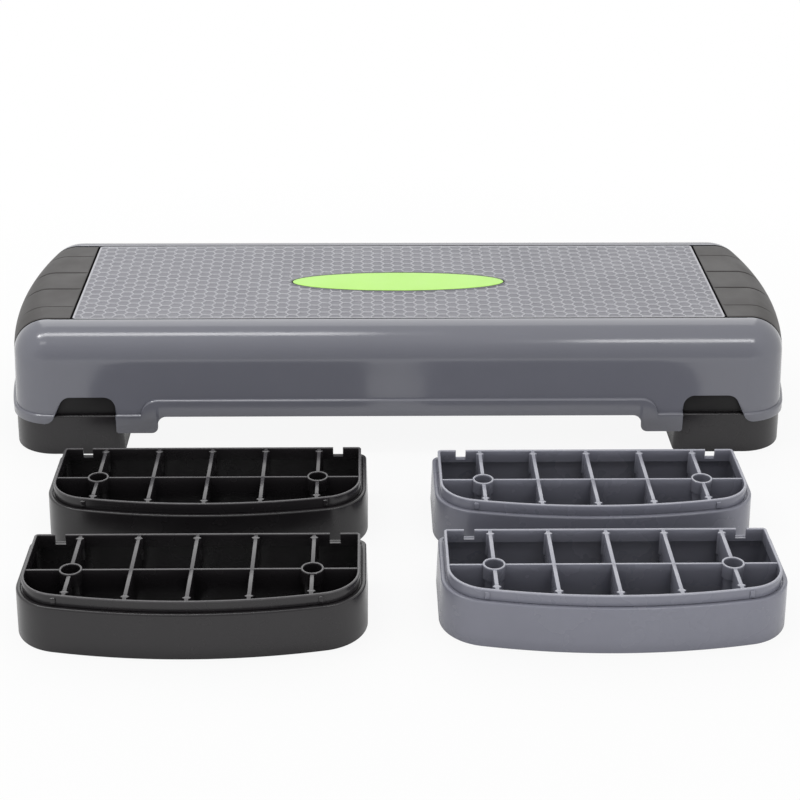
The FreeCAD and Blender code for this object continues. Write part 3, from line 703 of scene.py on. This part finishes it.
def grip_layer(rows, start, top_lift, bottom_lift, rim, channels):
    """A skin that follows the deck's end between two lifts, with a rounded rim and cross channels."""
    margin = rows[-1] - np.abs(rows)
    droop = -RIM_DROP * np.maximum(0.0, 1 - margin / RIM_WIDTH) ** 2 * rim
    cuts = np.zeros(len(rows))
    for place, depth, width in channels:
        cuts -= depth * np.exp(-np.abs((rows - place) / width) ** 3)
    bottom = bottom_lift + 0 * rows
    grids = []
    for face in (True, False):
        grid = []
        for share in TOP_SHARES:
            x = start + (end_x(SHOULDER_INSET, rows) - start) * share
            edge = -RIM_DROP * max(0.0, 1 - share / RIM_SHARE) ** 2 * rim
            fade = min(1.0, share / CHANNEL_START)
            lift = top_lift + np.minimum(edge, droop) + cuts * fade if face else bottom
            grid.append(np.column_stack([x, rows, TOP + lift]))
        for angle in GRIP_ANGLES:
            fade = float(np.clip((math.degrees(angle) - CHANNEL_LAST) / CHANNEL_FADE, 0, 1))
            lift = top_lift + droop + cuts * fade if face else bottom
            radius = SHOULDER_RADIUS + lift
            x = [end_x(a, r) for a, r in zip(SHOULDER_INSET - radius * math.cos(angle), rows)]
            grid.append(np.column_stack([x, rows, SHOULDER_Z + radius * math.sin(angle)]))
        for height in GRIP_HEIGHTS:
            foot = GRIP_FOOT_SLOPE * max(0.0, GRIP_FOOT - height) * rim
            lift = top_lift + droop - foot if face else bottom
            x = [end_x(a, r) for a, r in zip(wall_out(height) - lift, rows)]
            grid.append(np.column_stack([x, rows, np.full(len(rows), height)]))
        grids.append(np.array(grid))
    border = [np.vstack([g[0, :-1], g[:-1, -1], g[-1, :0:-1], g[:0:-1, 0]]) for g in grids]
    return join(sheet(grids[0]), sheet(grids[1]), loft(border))


def make_grip(hand):
    """End grip: a moulded skin with cross channels on a slightly larger base layer, and pegs below."""
    rows = [side * (GRIP_HALF - step) for side in BOTH for step in RIM_STEPS] + list(GRIP_ROWS)
    for place, depth, width in GRIP_CHANNELS:
        rows += [place + side * step * width for side in BOTH for step in CHANNEL_STEPS]
    rows = np.unique(np.round(rows, 3))
    pieces = [grip_layer(rows, GRIP_EDGE, 0.0, SKIN_BACK, 1.0, GRIP_CHANNELS),
              grip_layer(BASE_ROWS, BASE_EDGE, BASE_FACE, BASE_BACK, 0.0, ())]
    for row in BOTH:
        peg = circle(PEG_PLACE[0], PEG_PLACE[1] * row, PEG_RADIUS, PEG_POINTS)
        pieces.append(bevelled(*extrude(peg, 2, *(TOP - depth for depth in PEG_DEPTHS)), width=PEG_BEVEL))
    points, faces = join(*pieces)
    return points * (hand, 1, 1), faces


# Tread and badge; the sections are pairs of inset or growth and height
MAT_X = 372.6
MAT_Y = 118.3
MAT_CORNER = 4.0
MAT_CORNER_POINTS = 7
MAT_FLOOR = TOP - 0.9
MAT_FOOT = TOP - 2.3
BADGE_X = 126.0
BADGE_Y = 29.0
BADGE_PLACE = -5.0
BADGE_FOOT = TOP - 1.2
BADGE_POINTS = 128
BADGE_EDGE = ((0.0, BADGE_FOOT), (0.0, TOP + 0.05), (-0.2, TOP + 0.3), (-0.6, TOP + 0.42))
BADGE_CROWN = ((0.90, 0.55), (0.7, 0.72), (0.45, 0.83), (0.2, 0.88))
BADGE_RIM = ((1.9, BADGE_FOOT), (1.9, TOP - 0.1), (2.1, TOP + 0.15), (2.7, TOP + 0.2), (3.2, TOP + 0.05),
             (3.9, MAT_FLOOR), (3.9, BADGE_FOOT), (1.9, BADGE_FOOT))
# Dark ring round the badge: partly the badge's own dark edge, partly painted shade for the gap under it
BADGE_RING_AND_SHADE = ((-0.3, TOP - 1.0), (-0.3, TOP - 0.2), (0.1, TOP), (1.9, TOP), (2.2, TOP - 0.2),
              (2.2, TOP - 1.0), (-0.3, TOP - 1.0))
MAT_EDGE = ((0.0, MAT_FOOT), (0.0, MAT_FLOOR - 0.2), (0.2, MAT_FLOOR))
LINE_FOOT = MAT_FLOOR - 0.05
BORDER_FOOT = MAT_FLOOR - 0.3
MAT_BORDER = ((0.0, BORDER_FOOT), (0.0, TOP - 0.5), (0.15, TOP - 0.15), (0.5, TOP), (1.5, TOP),
              (1.9, TOP - 0.12), (2.6, LINE_FOOT), (2.6, BORDER_FOOT), (0.0, BORDER_FOOT))
GROOVE_FLOOR = TOP - 1.9
# Painted shade: section of a near black channel that fills the groove round the tread, standing in for its
# shadow
MAT_GROOVE_SHADE = ((0.3, MAT_FOOT), (0.3, TOP - 0.5), (0.0, TOP - 0.12), (-0.2, TOP - 0.05), (-0.35, TOP - 0.2),
            (-0.35, GROOVE_FLOOR), (-1.7, GROOVE_FLOOR), (-1.7, TOP - 0.25), (-1.8, TOP - 0.12),
            (-2.05, TOP - 0.12), (-2.05, MAT_FOOT), (0.3, MAT_FOOT))
# Painted shade along the grips' sides: rows from the grip's edge, and the top and bottom lifts
GRIP_SHADE_ROWS = (-0.05, 0.15, 1.6, 1.75)
GRIP_SHADE_LIFTS = (-0.1, -1.6)

# Hexagon net: its side, how many cells each way, half widths of its lines by height, and clear margins
HEX_SIDE = 8.2
HEX_ACROSS = 34
HEX_DEEP = 11
LINE_LEVELS = ((0.4, TOP), (1.05, LINE_FOOT))
LINE_MARGIN = 2.2
BADGE_MARGIN = 3.6
LINE_SAMPLES = 41
LEAST_LINE = 0.06


def oval_ring(grow, z, share=1.0):
    """The badge's outline, grown by a width and then drawn in to a share."""
    turn = np.arange(BADGE_POINTS) * 2 * math.pi / BADGE_POINTS
    x = (BADGE_X + grow) * share * np.cos(turn)
    y = BADGE_PLACE + (BADGE_Y + grow) * share * np.sin(turn)
    return at_height(np.column_stack([x, y]), z)


def mat_ring(inset, z):
    """The tread's outline, with rounded corners, for an inset."""
    radius = MAT_CORNER - inset
    flat = []
    for quarter, (x, y) in enumerate(((1, 1), (-1, 1), (-1, -1), (1, -1))):
        angles = np.linspace(0, QUARTER, MAT_CORNER_POINTS) + quarter * QUARTER
        flat += arc(x * (MAT_X - MAT_CORNER), y * (MAT_Y - MAT_CORNER), radius, angles)
    return at_height(flat, z)


def swept(outline, section, caps=False):
    """A section carried round an outline."""
    return loft([outline(*place) for place in section], caps)


def make_mat():
    """Base of the tread: a thin plate with a rim round the badge."""
    return join(swept(mat_ring, MAT_EDGE, caps=True), swept(oval_ring, BADGE_RIM))


def hex_edges():
    """Edges of a hexagon net over the tread, each once, as pairs of points."""
    step_x = 1.5 * HEX_SIDE
    step_y = math.sqrt(3) * HEX_SIDE
    seen = set()
    edges = []
    for i in range(-HEX_ACROSS, HEX_ACROSS + 1):
        for j in range(-HEX_DEEP, HEX_DEEP + 1):
            corners = circle(step_x * i, step_y * (j + (i % 2) / 2), HEX_SIDE, 6)
            for a, b in zip(corners, np.roll(corners, -1, axis=0)):
                key = tuple(sorted(tuple(np.round(end, 2) + 0.0) for end in (a, b)))
                if key not in seen:
                    seen.add(key)
                    edges.append((a, b))
    return edges


def clipped(a, b):
    """The stretch of an edge that lies on the tread, clear of its border and of the badge, as shares."""
    shares = np.linspace(0, 1, LINE_SAMPLES)
    x, y = (a + np.outer(shares, b - a)).T
    on_mat = (np.abs(x) < MAT_X - LINE_MARGIN) & (np.abs(y) < MAT_Y - LINE_MARGIN)
    across = x / (BADGE_X + BADGE_MARGIN)
    deep = (y - BADGE_PLACE) / (BADGE_Y + BADGE_MARGIN)
    held = shares[on_mat & (across ** 2 + deep ** 2 > 1)]
    return (held.min(), held.max()) if len(held) > 1 else (0.0, 0.0)


def make_hex_lines():
    """Raised lines of the hexagon net, mitred where three meet, inside a raised border."""
    points = []
    faces = []
    mitre = 1 / math.sqrt(3)
    for a, b in hex_edges():
        first, last = clipped(a, b)
        if last - first < LEAST_LINE:
            continue
        way = (b - a) / np.linalg.norm(b - a)
        side = np.array([-way[1], way[0]])
        s = len(points)
        faces.append((s + 4, s + 1, s + 6, s + 9, s + 5, s))
        faces += [(s, s + 5, s + 7, s + 2), (s + 1, s + 3, s + 8, s + 6)]
        for share, cut, sign in ((first, first, 1), (last, 1 - last, -1)):
            end = a + (b - a) * share
            k = len(points)
            whole = cut < TINY
            for half, z in LINE_LEVELS:
                back = way * sign * half * (mitre if whole else 0.0)
                points += [(*(end + back + side * half), z), (*(end + back - side * half), z)]
            points.append((*end, TOP))
            if not whole:
                faces.append((k, k + 2, k + 3, k + 1))
    return join((np.array(points), faces), swept(mat_ring, MAT_BORDER))


def make_groove_shade():
    """Painted shade: a dark channel in the groove round the tread and thin dark edges along the grips'
    sides, standing in for the shadow in these grooves.
    """
    pieces = [swept(mat_ring, MAT_GROOVE_SHADE)]
    points, faces = grip_layer(GRIP_HALF + np.array(GRIP_SHADE_ROWS), GRIP_EDGE, *GRIP_SHADE_LIFTS, 0.0, ())
    for hand in BOTH:
        for row in BOTH:
            pieces.append((points * (hand, row, 1), faces))
    return join(*pieces)


# Place, half size, heights and edge rounding of the painted shade plates in the notches
SHADE_PLATE_PLACE = (356.0, 161.0)
SHADE_PLATE_HALF = (48.0, 0.6)
SHADE_PLATE_HEIGHTS = (50.2, 76.0)
SHADE_PLATE_BEVEL = 0.3


def make_notch_shade_plates():
    """Painted shade: dark plates behind the four notches, in front of the spigots of the fitted risers,
    standing in for the shadow inside the deck.
    """
    x, y = SHADE_PLATE_PLACE
    plans = [box_plan(hand * x, row * y, *SHADE_PLATE_HALF) for hand in BOTH for row in BOTH]
    return bevelled(*join(*(extrude(plan, 2, *SHADE_PLATE_HEIGHTS) for plan in plans)), width=SHADE_PLATE_BEVEL)


def make_badge():
    """Bare oval plate with a rounded edge and a slight crown."""
    rings = [oval_ring(grow, z) for grow, z in BADGE_EDGE]
    rings += [oval_ring(0.0, TOP + lift, share) for share, lift in BADGE_CROWN]
    return loft(rings, caps=True)


# Riser plan
RISER_X = 165.7
RISER_BACK = 73.1
RISER_FRONT = 65.8
RISER_GAP = 0.3
RISER_BOW = END_RADIUS - RISER_GAP
RISER_CORNER = CORNER_RADIUS - RISER_GAP
RISER_TURN = math.asin((RISER_X - RISER_CORNER) / (RISER_BOW - RISER_CORNER))
RISER_DROP = (RISER_BOW - RISER_CORNER) * math.cos(RISER_TURN) - (RISER_BOW - RISER_FRONT)
RISER_TOP = 58.7
TIGHT_CORNER = 9.5
TIGHT_LEAST = 1.2
SIDE_POINTS = 9
CORNER_POINTS = 22
BOW_POINTS = 49
# Places along half of the straight side, and whether each lies in the key notch
NOTCH_NEAR = 129.75
NOTCH_FAR = 140.25
BACK_HALF = [(x, False) for x in (*np.linspace(154, 142, 5), NOTCH_FAR)]
BACK_HALF += [(x, True) for x in (NOTCH_FAR, 137.5, KEY_PLACE, 132.5, NOTCH_NEAR)]
BACK_HALF += [(x, False) for x in (NOTCH_NEAR, *np.linspace(124, 0, 13))]
BACK_LINE = BACK_HALF + [(-x, gap) for x, gap in reversed(BACK_HALF[:-1])]

# Riser sections: wall, ledge and spigot as inset and height, and a boss as radius and height
LEDGE_ROUND = 2.1
LEDGE_STEPS = 7
ROOM_TOP = 44.5
WALL_FOOT = 0.3
WALL_IN = 3.2
SPIGOT_OUT = 5.7
SPIGOT_IN = 8.5
SPIGOT_FOOT = 53.0
RISER_OUTSIDE = ((WALL_IN, WALL_FOOT), (-0.6, WALL_FOOT), (-1.2, 0.5), (-1.4, 1.1), (-1.1, 12.0),
                 (-0.75, 24.0), (-0.35, 36.0))
RISER_LEDGE = ((4.3, LEVEL), (4.7, LEVEL - 0.3), (4.9, LEVEL - 1.1), (SPIGOT_OUT, LEVEL - 1.1),
               (SPIGOT_OUT, LEVEL + 0.1))
RISER_SPIGOT = ((SPIGOT_OUT, SPIGOT_FOOT), (SPIGOT_OUT, RISER_TOP - 0.9), (5.84, RISER_TOP - 0.45),
                (6.15, RISER_TOP - 0.14), (6.6, RISER_TOP), (7.7, RISER_TOP), (8.1, RISER_TOP - 0.12),
                (8.4, RISER_TOP - 0.4), (SPIGOT_IN, RISER_TOP - 0.8), (SPIGOT_IN, SPIGOT_FOOT),
                (SPIGOT_IN, LEVEL + 0.1))
RISER_INSIDE = ((SPIGOT_IN, ROOM_TOP + 0.4), (8.1, ROOM_TOP), (3.4, ROOM_TOP), (WALL_IN, ROOM_TOP - 0.5),
                (WALL_IN, 22.0), (WALL_IN, WALL_FOOT))
BOSS_X = 114.6
BOSS_POINTS = 40
CROSS_FOOT = 13.0
BOSS_SECTION = ((9.0, 44.6), (9.0, RISER_TOP - 0.35), (9.35, RISER_TOP), (10.65, RISER_TOP),
                (11.0, RISER_TOP - 0.35), (11.0, 44.6), (10.6, 44.2), (9.5, 44.2), (9.3, 44.0),
                (9.3, CROSS_FOOT), (7.6, CROSS_FOOT), (7.6, 44.2), (9.0, 44.6))

# Ribs, nubs, snaps and keys of the riser
CROSS_RIB = 3.8
CROSS_PITCH = 57.3
CROSS_SIDE = 2
CROSS_TOP = RISER_TOP - 0.6
CROSS_SHELF = 44.7
BOSS_STEP = (44.1, 44.9)
BOSS_CLEAR = (8.4, 9.8)
MOUTH = 8.0
CHAMBER = 2.8
LONG_RIB = 2.6
LONG_RIB_TOP = CROSS_TOP - 0.1
NUB_FROM_END = 6.2
NUB_HALF = (4.3, 4.0)
NUB_FOOT = 34.0
NUB_TOP = CROSS_TOP + 0.05
SNAP_X = 124.0
SNAP_WIDTH = 4.4
SNAP_SECTION = ((1.2, LEVEL + 0.6), (-1.2, LEVEL + 0.6), (-2.0, 52.0), (-1.8, 55.6), (1.2, 56.9))
KEY_Y = 66.15
KEY_DEEP = 4.25
KEY_FOOT = 2.2
RISER_BEVEL = 0.45


def riser_plan(inset):
    """Riser outline for an inset, straight side to +y, and which columns lie in a key notch."""
    small = RISER_CORNER - inset
    bow = RISER_BOW - inset
    tight = max(TIGHT_CORNER - inset, TIGHT_LEAST)
    side = RISER_X - inset
    back = RISER_BACK - inset
    straight = np.linspace(-RISER_DROP, back - tight, SIDE_POINTS)
    first = [(side, y) for y in straight[:-1]]
    first += arc(side - tight, back - tight, tight, np.linspace(0, QUARTER, SIDE_POINTS))
    rest = arc(tight - side, back - tight, tight, np.linspace(QUARTER, math.pi, SIDE_POINTS))
    rest += [(-side, y) for y in straight[-2:0:-1]]
    turns = np.linspace(math.pi, 3 * QUARTER - RISER_TURN, CORNER_POINTS)
    rest += arc(small - side, -RISER_DROP, small, turns[:-1])
    turns = np.linspace(-QUARTER - RISER_TURN, RISER_TURN - QUARTER, BOW_POINTS)
    rest += arc(0.0, RISER_BOW - RISER_FRONT, bow, turns)
    turns = np.linspace(RISER_TURN - QUARTER, 0, CORNER_POINTS)
    rest += arc(side - small, -RISER_DROP, small, turns[1:-1])
    points = first + [(x, back) for x, gap in BACK_LINE] + rest
    notch = [False] * len(first) + [gap for x, gap in BACK_LINE] + [False] * len(rest)
    return np.array(points), np.array(notch)


def front_y(inset, x):
    """The bowed wall's y at x, for an inset."""
    return RISER_BOW - RISER_FRONT - math.sqrt((RISER_BOW - inset) ** 2 - x ** 2)


def make_riser_shell():
    """Rounded wall, ledge and spigot with key notches, as one skin with an outside and an inside."""
    rounding = [(LEDGE_ROUND * (1 - math.cos(a)), LEVEL - LEDGE_ROUND * (1 - math.sin(a)))
                for a in np.linspace(0, QUARTER, LEDGE_STEPS)]
    rings = []
    for inset, z in (*RISER_OUTSIDE, *rounding, *RISER_LEDGE, *RISER_SPIGOT, *RISER_INSIDE):
        flat, notch = riser_plan(inset)
        cut = notch & (inset > SPIGOT_OUT - FINE)
        rings.append(at_height(flat, np.where(cut, min(z, LEVEL), z)))
    return loft(rings)


def make_riser_bars():
    """Cross ribs with nubs, the long rib on both sides of the bosses, snaps and keys."""
    bars = []
    low_step, high_step = BOSS_STEP
    for k in range(-CROSS_SIDE, CROSS_SIDE + 1):
        x = CROSS_PITCH * k
        for row in BOTH:
            low, high = BOSS_CLEAR if abs(k) == CROSS_SIDE else (0.0, 0.0)
            mouth = RISER_BACK - MOUTH if row > 0 else front_y(MOUTH, x)
            chamber = RISER_BACK - CHAMBER if row > 0 else front_y(CHAMBER, x)
            line = [(row * low, CROSS_FOOT), (chamber, CROSS_FOOT), (chamber, CROSS_SHELF),
                    (mouth, CROSS_SHELF), (mouth, CROSS_TOP), (row * high, CROSS_TOP)]
            if high:
                line += [(row * high, high_step), (row * low, low_step)]
            bars.append(plate(line, 0, x, CROSS_RIB))
            tip = mouth - row * NUB_FROM_END
            nub = [(x, tip - row * NUB_HALF[1]), (x + NUB_HALF[0], tip), (x, tip + row * NUB_HALF[1]),
                   (x - NUB_HALF[0], tip)]
            bars.append(extrude(nub, 2, NUB_FOOT, NUB_TOP))
    low, high = BOSS_CLEAR
    mouth = RISER_X - MOUTH
    chamber = RISER_X - CHAMBER
    outer = [(BOSS_X + low, CROSS_FOOT), (chamber, CROSS_FOOT), (chamber, CROSS_SHELF),
             (mouth, CROSS_SHELF), (mouth, LONG_RIB_TOP), (BOSS_X + high, LONG_RIB_TOP),
             (BOSS_X + high, high_step), (BOSS_X + low, low_step)]
    inner = [(0.0, CROSS_FOOT), (BOSS_X - low, CROSS_FOOT), (BOSS_X - low, low_step),
             (BOSS_X - high, high_step), (BOSS_X - high, LONG_RIB_TOP), (0.0, LONG_RIB_TOP)]
    snap = [(front_y(SPIGOT_OUT, SNAP_X) + y, z) for y, z in SNAP_SECTION]
    for hand in BOTH:
        for line in (outer, inner):
            bars.append(plate([(hand * x, z) for x, z in line], 1, 0.0, LONG_RIB))
        bars.append(plate(snap, 0, hand * SNAP_X, SNAP_WIDTH))
        key = box_plan(hand * KEY_PLACE, KEY_Y, KEY_HALF, KEY_DEEP)
        bars.append(extrude(key, 2, KEY_FOOT, CROSS_FOOT))
    return bevelled(*join(*bars), width=RISER_BEVEL)


def make_riser():
    """Riser moulding: shell, ribs and two stepped bosses."""
    bosses = []
    for hand in BOTH:
        rings = [at_height(circle(hand * BOSS_X, 0.0, r, BOSS_POINTS), z) for r, z in BOSS_SECTION]
        bosses.append(loft(rings))
    return join(make_riser_shell(), make_riser_bars(), *bosses)


# The set
low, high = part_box("tread_mat")
DECK_MATRIX = Matrix.Translation(((low[0] + high[0]) / 2, (low[1] + high[1]) / 2, 0.0))


def on_deck(name, form, material, slot, nodes=(), **finish):
    put(name, form, material, slot, "deck", nodes, DECK_MATRIX, **finish)


on_deck("deck_moulding", make_deck(), SHELL, "grey_shell", ["deck_shell"], sharp=40.0)
on_deck("deck_ribs", make_deck_ribs(), SHELL, "grey_shell")
on_deck("tread_plate", make_mat(), TREAD, "tread_grey", ["tread_mat"])
# The raised lines and border get the lighter colour, a painted highlight
on_deck("tread_lines", make_hex_lines(), LIT_LINES, "tread_grey", weld=2e-5)
# Painted shade in the grooves round the tread and the grips
on_deck("tread_groove_shade", make_groove_shade(), GROOVE_SHADE, "pad_rubber")
# Painted shade in the notches
on_deck("notch_shade_plates", make_notch_shade_plates(), NOTCH_SHADE, "riser_black")
# Dark ring round the badge, partly painted shade of the gap at its edge
on_deck("badge_ring_and_shade", swept(oval_ring, BADGE_RING_AND_SHADE), RUBBER, "pad_rubber")
on_deck("badge_oval", make_badge(), BADGE, "badge_green", ["badge_plate"])
for side, hand in (("right", 1), ("left", -1)):
    on_deck(f"{side}_grip_skin", make_grip(hand), GRIP, "grip_dark", [f"{side}_end_grip"], sharp=50.0)
    recolour(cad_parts[f"{side}_grip_screws"], STEEL)

RISERS = {
    "left_foot": (BLACK, "riser_black", -90),
    "right_foot": (BLACK, "riser_black", 90),
    "black_rear": (BLACK, "riser_black", 0),
    "black_front": (BLACK, "riser_black", 0),
    "grey_rear": (GREY, "riser_grey", 0),
    "grey_front": (GREY, "riser_grey", 0),
}
riser_form = make_riser()
for name, (material, slot, angle) in RISERS.items():
    low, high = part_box(f"{name}_riser")
    back = RISER_BACK * MM
    x = {-90: high[0] - back, 90: low[0] + back}.get(angle, (low[0] + high[0]) / 2)
    y = high[1] - back if angle == 0 else (low[1] + high[1]) / 2
    matrix = Matrix.Translation((x, y, 0.0)) @ Matrix.Rotation(math.radians(angle), 4, "Z")
    put(f"{name}_moulding", riser_form, material, slot, name, [f"{name}_riser"], matrix, sharp=38.0)
    recolour(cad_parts[f"{name}_rubber_pads"], RUBBER)


# Floor, world, lights and camera, in metres
FLOOR_HALF = 30.0
FLOOR_TONE = (0.75, 0.75, 0.75, 1.0)
FLOOR_FADE = (0.35, 1.1)
FLOOR_WHITE = (0.92, 1.0)
# Reach, samples and open range of the painted shade (ambient occlusion) on the floor
FLOOR_SHADE_REACH = 0.09
FLOOR_SHADE_SAMPLES = 6
FLOOR_SHADE_OPEN = (0.30, 0.75)
WORLD_LIGHT = 0.45
ROOM_FADE = (-1.0, -0.45)
ROOM_LIGHT = (0.35, 1.0)


def make_stage():
    """Pale floor that keeps a faint shadow near the object and is plain white further out, with painted
    shade from ambient occlusion under and between the parts.
    """
    mesh = bpy.data.meshes.new("floor")
    corners = [(x, y, 0) for x, y in box_plan(0.0, 0.0, FLOOR_HALF, FLOOR_HALF)]
    mesh.from_pydata(corners, [], [(0, 1, 2, 3)])
    floor = bpy.data.objects.new("floor", mesh)
    bpy.context.scene.collection.objects.link(floor)
    material = bpy.data.materials.new("floor_white")
    nodes = Nodes(material)
    shader = nodes.tree.nodes["Principled BSDF"]
    shader.inputs["Roughness"].default_value = 0.9
    shader.inputs["Specular IOR Level"].default_value = 0.0
    glow = nodes.add("ShaderNodeEmission", {"Color": WHITE, "Strength": 1.0})
    far = nodes.add("ShaderNodeVectorMath", operation="LENGTH")
    nodes.link(nodes.places["Object"], far.inputs[0])
    share = nodes.ranged(far.outputs["Value"], *FLOOR_FADE, *FLOOR_WHITE)
    # Painted shade: ambient occlusion darkens the floor's colour under and between the parts, and takes
    # its white glow out of reflections there
    floor_shade = nodes.add("ShaderNodeAmbientOcclusion", {"Distance": FLOOR_SHADE_REACH, "Color": FLOOR_TONE},
                     samples=FLOOR_SHADE_SAMPLES)
    nodes.link(floor_shade.outputs["Color"], shader.inputs["Base Color"])
    clear = nodes.ranged(floor_shade.outputs["AO"], *FLOOR_SHADE_OPEN)
    mirrored = nodes.maths("MULTIPLY", clear, nodes.rays("Is Glossy Ray", "Is Transmission Ray"))
    either = nodes.maths("MAXIMUM", mirrored, nodes.rays("Is Camera Ray"))
    seen = nodes.maths("MULTIPLY", share, either)
    surface = nodes.mixed(seen, shader.outputs["BSDF"], glow.outputs["Emission"])
    nodes.link(surface, nodes.tree.nodes["Material Output"].inputs["Surface"])
    mesh.materials.append(material)


def make_world():
    """Soft grey light all round, seen as white by the camera; reflections see it darker at the front."""
    world = bpy.data.worlds.new("studio")
    bpy.context.scene.world = world
    nodes = Nodes(world)
    nodes.tree.nodes.remove(nodes.tree.nodes["Background"])
    light, white, room = (nodes.add("ShaderNodeBackground", {"Color": WHITE, "Strength": strength})
                          for strength in (WORLD_LIGHT, 1.0, 1.0))
    fade = nodes.ranged(nodes.part("Generated", "Y"), *ROOM_FADE, *ROOM_LIGHT)
    nodes.link(fade, room.inputs["Strength"])
    mirror = nodes.rays("Is Glossy Ray")
    direct = nodes.rays("Is Camera Ray", "Is Transmission Ray")
    seen = nodes.mixed(mirror, light.outputs["Background"], room.outputs["Background"])
    seen = nodes.mixed(direct, seen, white.outputs["Background"])
    nodes.link(seen, nodes.tree.nodes["World Output"].inputs["Surface"])


def area_light(name, place, aim, size, power, mirrored=True):
    """A lamp that the camera doesn't see, and that reflections see if mirrored."""
    data = bpy.data.lights.new(name, "AREA")
    data.shape = "RECTANGLE"
    data.size, data.size_y = size
    data.energy = power
    lamp = bpy.data.objects.new(name, data)
    bpy.context.scene.collection.objects.link(lamp)
    lamp.location = place
    lamp.visible_camera = False
    lamp.visible_glossy = mirrored
    lamp.rotation_euler = (Vector(aim) - Vector(place)).to_track_quat("-Z", "Y").to_euler()


CAMERA_PLACE = (-0.03395, -1.73207, 0.9050)
CAMERA_ANGLES = (-1.09, 25.27, 0.27)
CAMERA_LENS = 77.85
SENSOR = 36.0


def make_camera():
    """Camera at the photograph's place: turn, tilt and roll in degrees."""
    turn, tilt, roll = (math.radians(angle) for angle in CAMERA_ANGLES)
    right = Vector((math.cos(turn), math.sin(turn), 0.0))
    up = Vector((-math.sin(turn) * math.sin(tilt), math.cos(turn) * math.sin(tilt), math.cos(tilt)))
    ahead = Vector((-math.sin(turn) * math.cos(tilt), math.cos(turn) * math.cos(tilt), -math.sin(tilt)))
    across = right * math.cos(roll) + up * math.sin(roll)
    above = up * math.cos(roll) - right * math.sin(roll)
    data = bpy.data.cameras.new("camera")
    data.sensor_width = SENSOR
    data.lens = CAMERA_LENS
    camera = bpy.data.objects.new("camera", data)
    bpy.context.scene.collection.objects.link(camera)
    rows = [(across[k], above[k], -ahead[k], CAMERA_PLACE[k]) for k in range(3)]
    camera.matrix_world = Matrix((*rows, (0.0, 0.0, 0.0, 1.0)))
    bpy.context.scene.camera = camera


make_stage()
make_world()
area_light("softbox", (0.0, 0.1, 2.4), (0.0, 0.1, 0.0), (3.0, 2.2), 9.0, mirrored=False)
area_light("back", (0.0, 2.5, 2.1), (0.0, 0.0, 0.1), (3.4, 2.6), 31.0)
area_light("strip_left", (-0.7, -0.08, 1.9), (-0.7, 0.0, 0.15), (1.3, 0.32), 8.5)
area_light("strip_end", (-1.5, -0.08, 1.9), (-1.5, 0.0, 0.15), (0.3, 0.32), 4.5)
area_light("strip_low", (-1.3, -1.05, 1.8), (-1.3, 0.06, 0.15), (0.7, 0.3), 1.6)
area_light("strip_right", (0.85, -1.05, 1.8), (0.85, 0.06, 0.15), (0.8, 0.32), 5.5)
area_light("fill_left", (-1.6, -2.6, 0.30), (-0.1, 0.0, 0.06), (1.4, 0.4), 14.0, mirrored=False)
area_light("fill_right", (1.6, -2.6, 0.30), (0.1, 0.0, 0.06), (1.4, 0.4), 16.0, mirrored=False)
make_camera()
bpy.context.scene.view_settings.view_transform = "Standard"

bpy.context.view_layer.update()
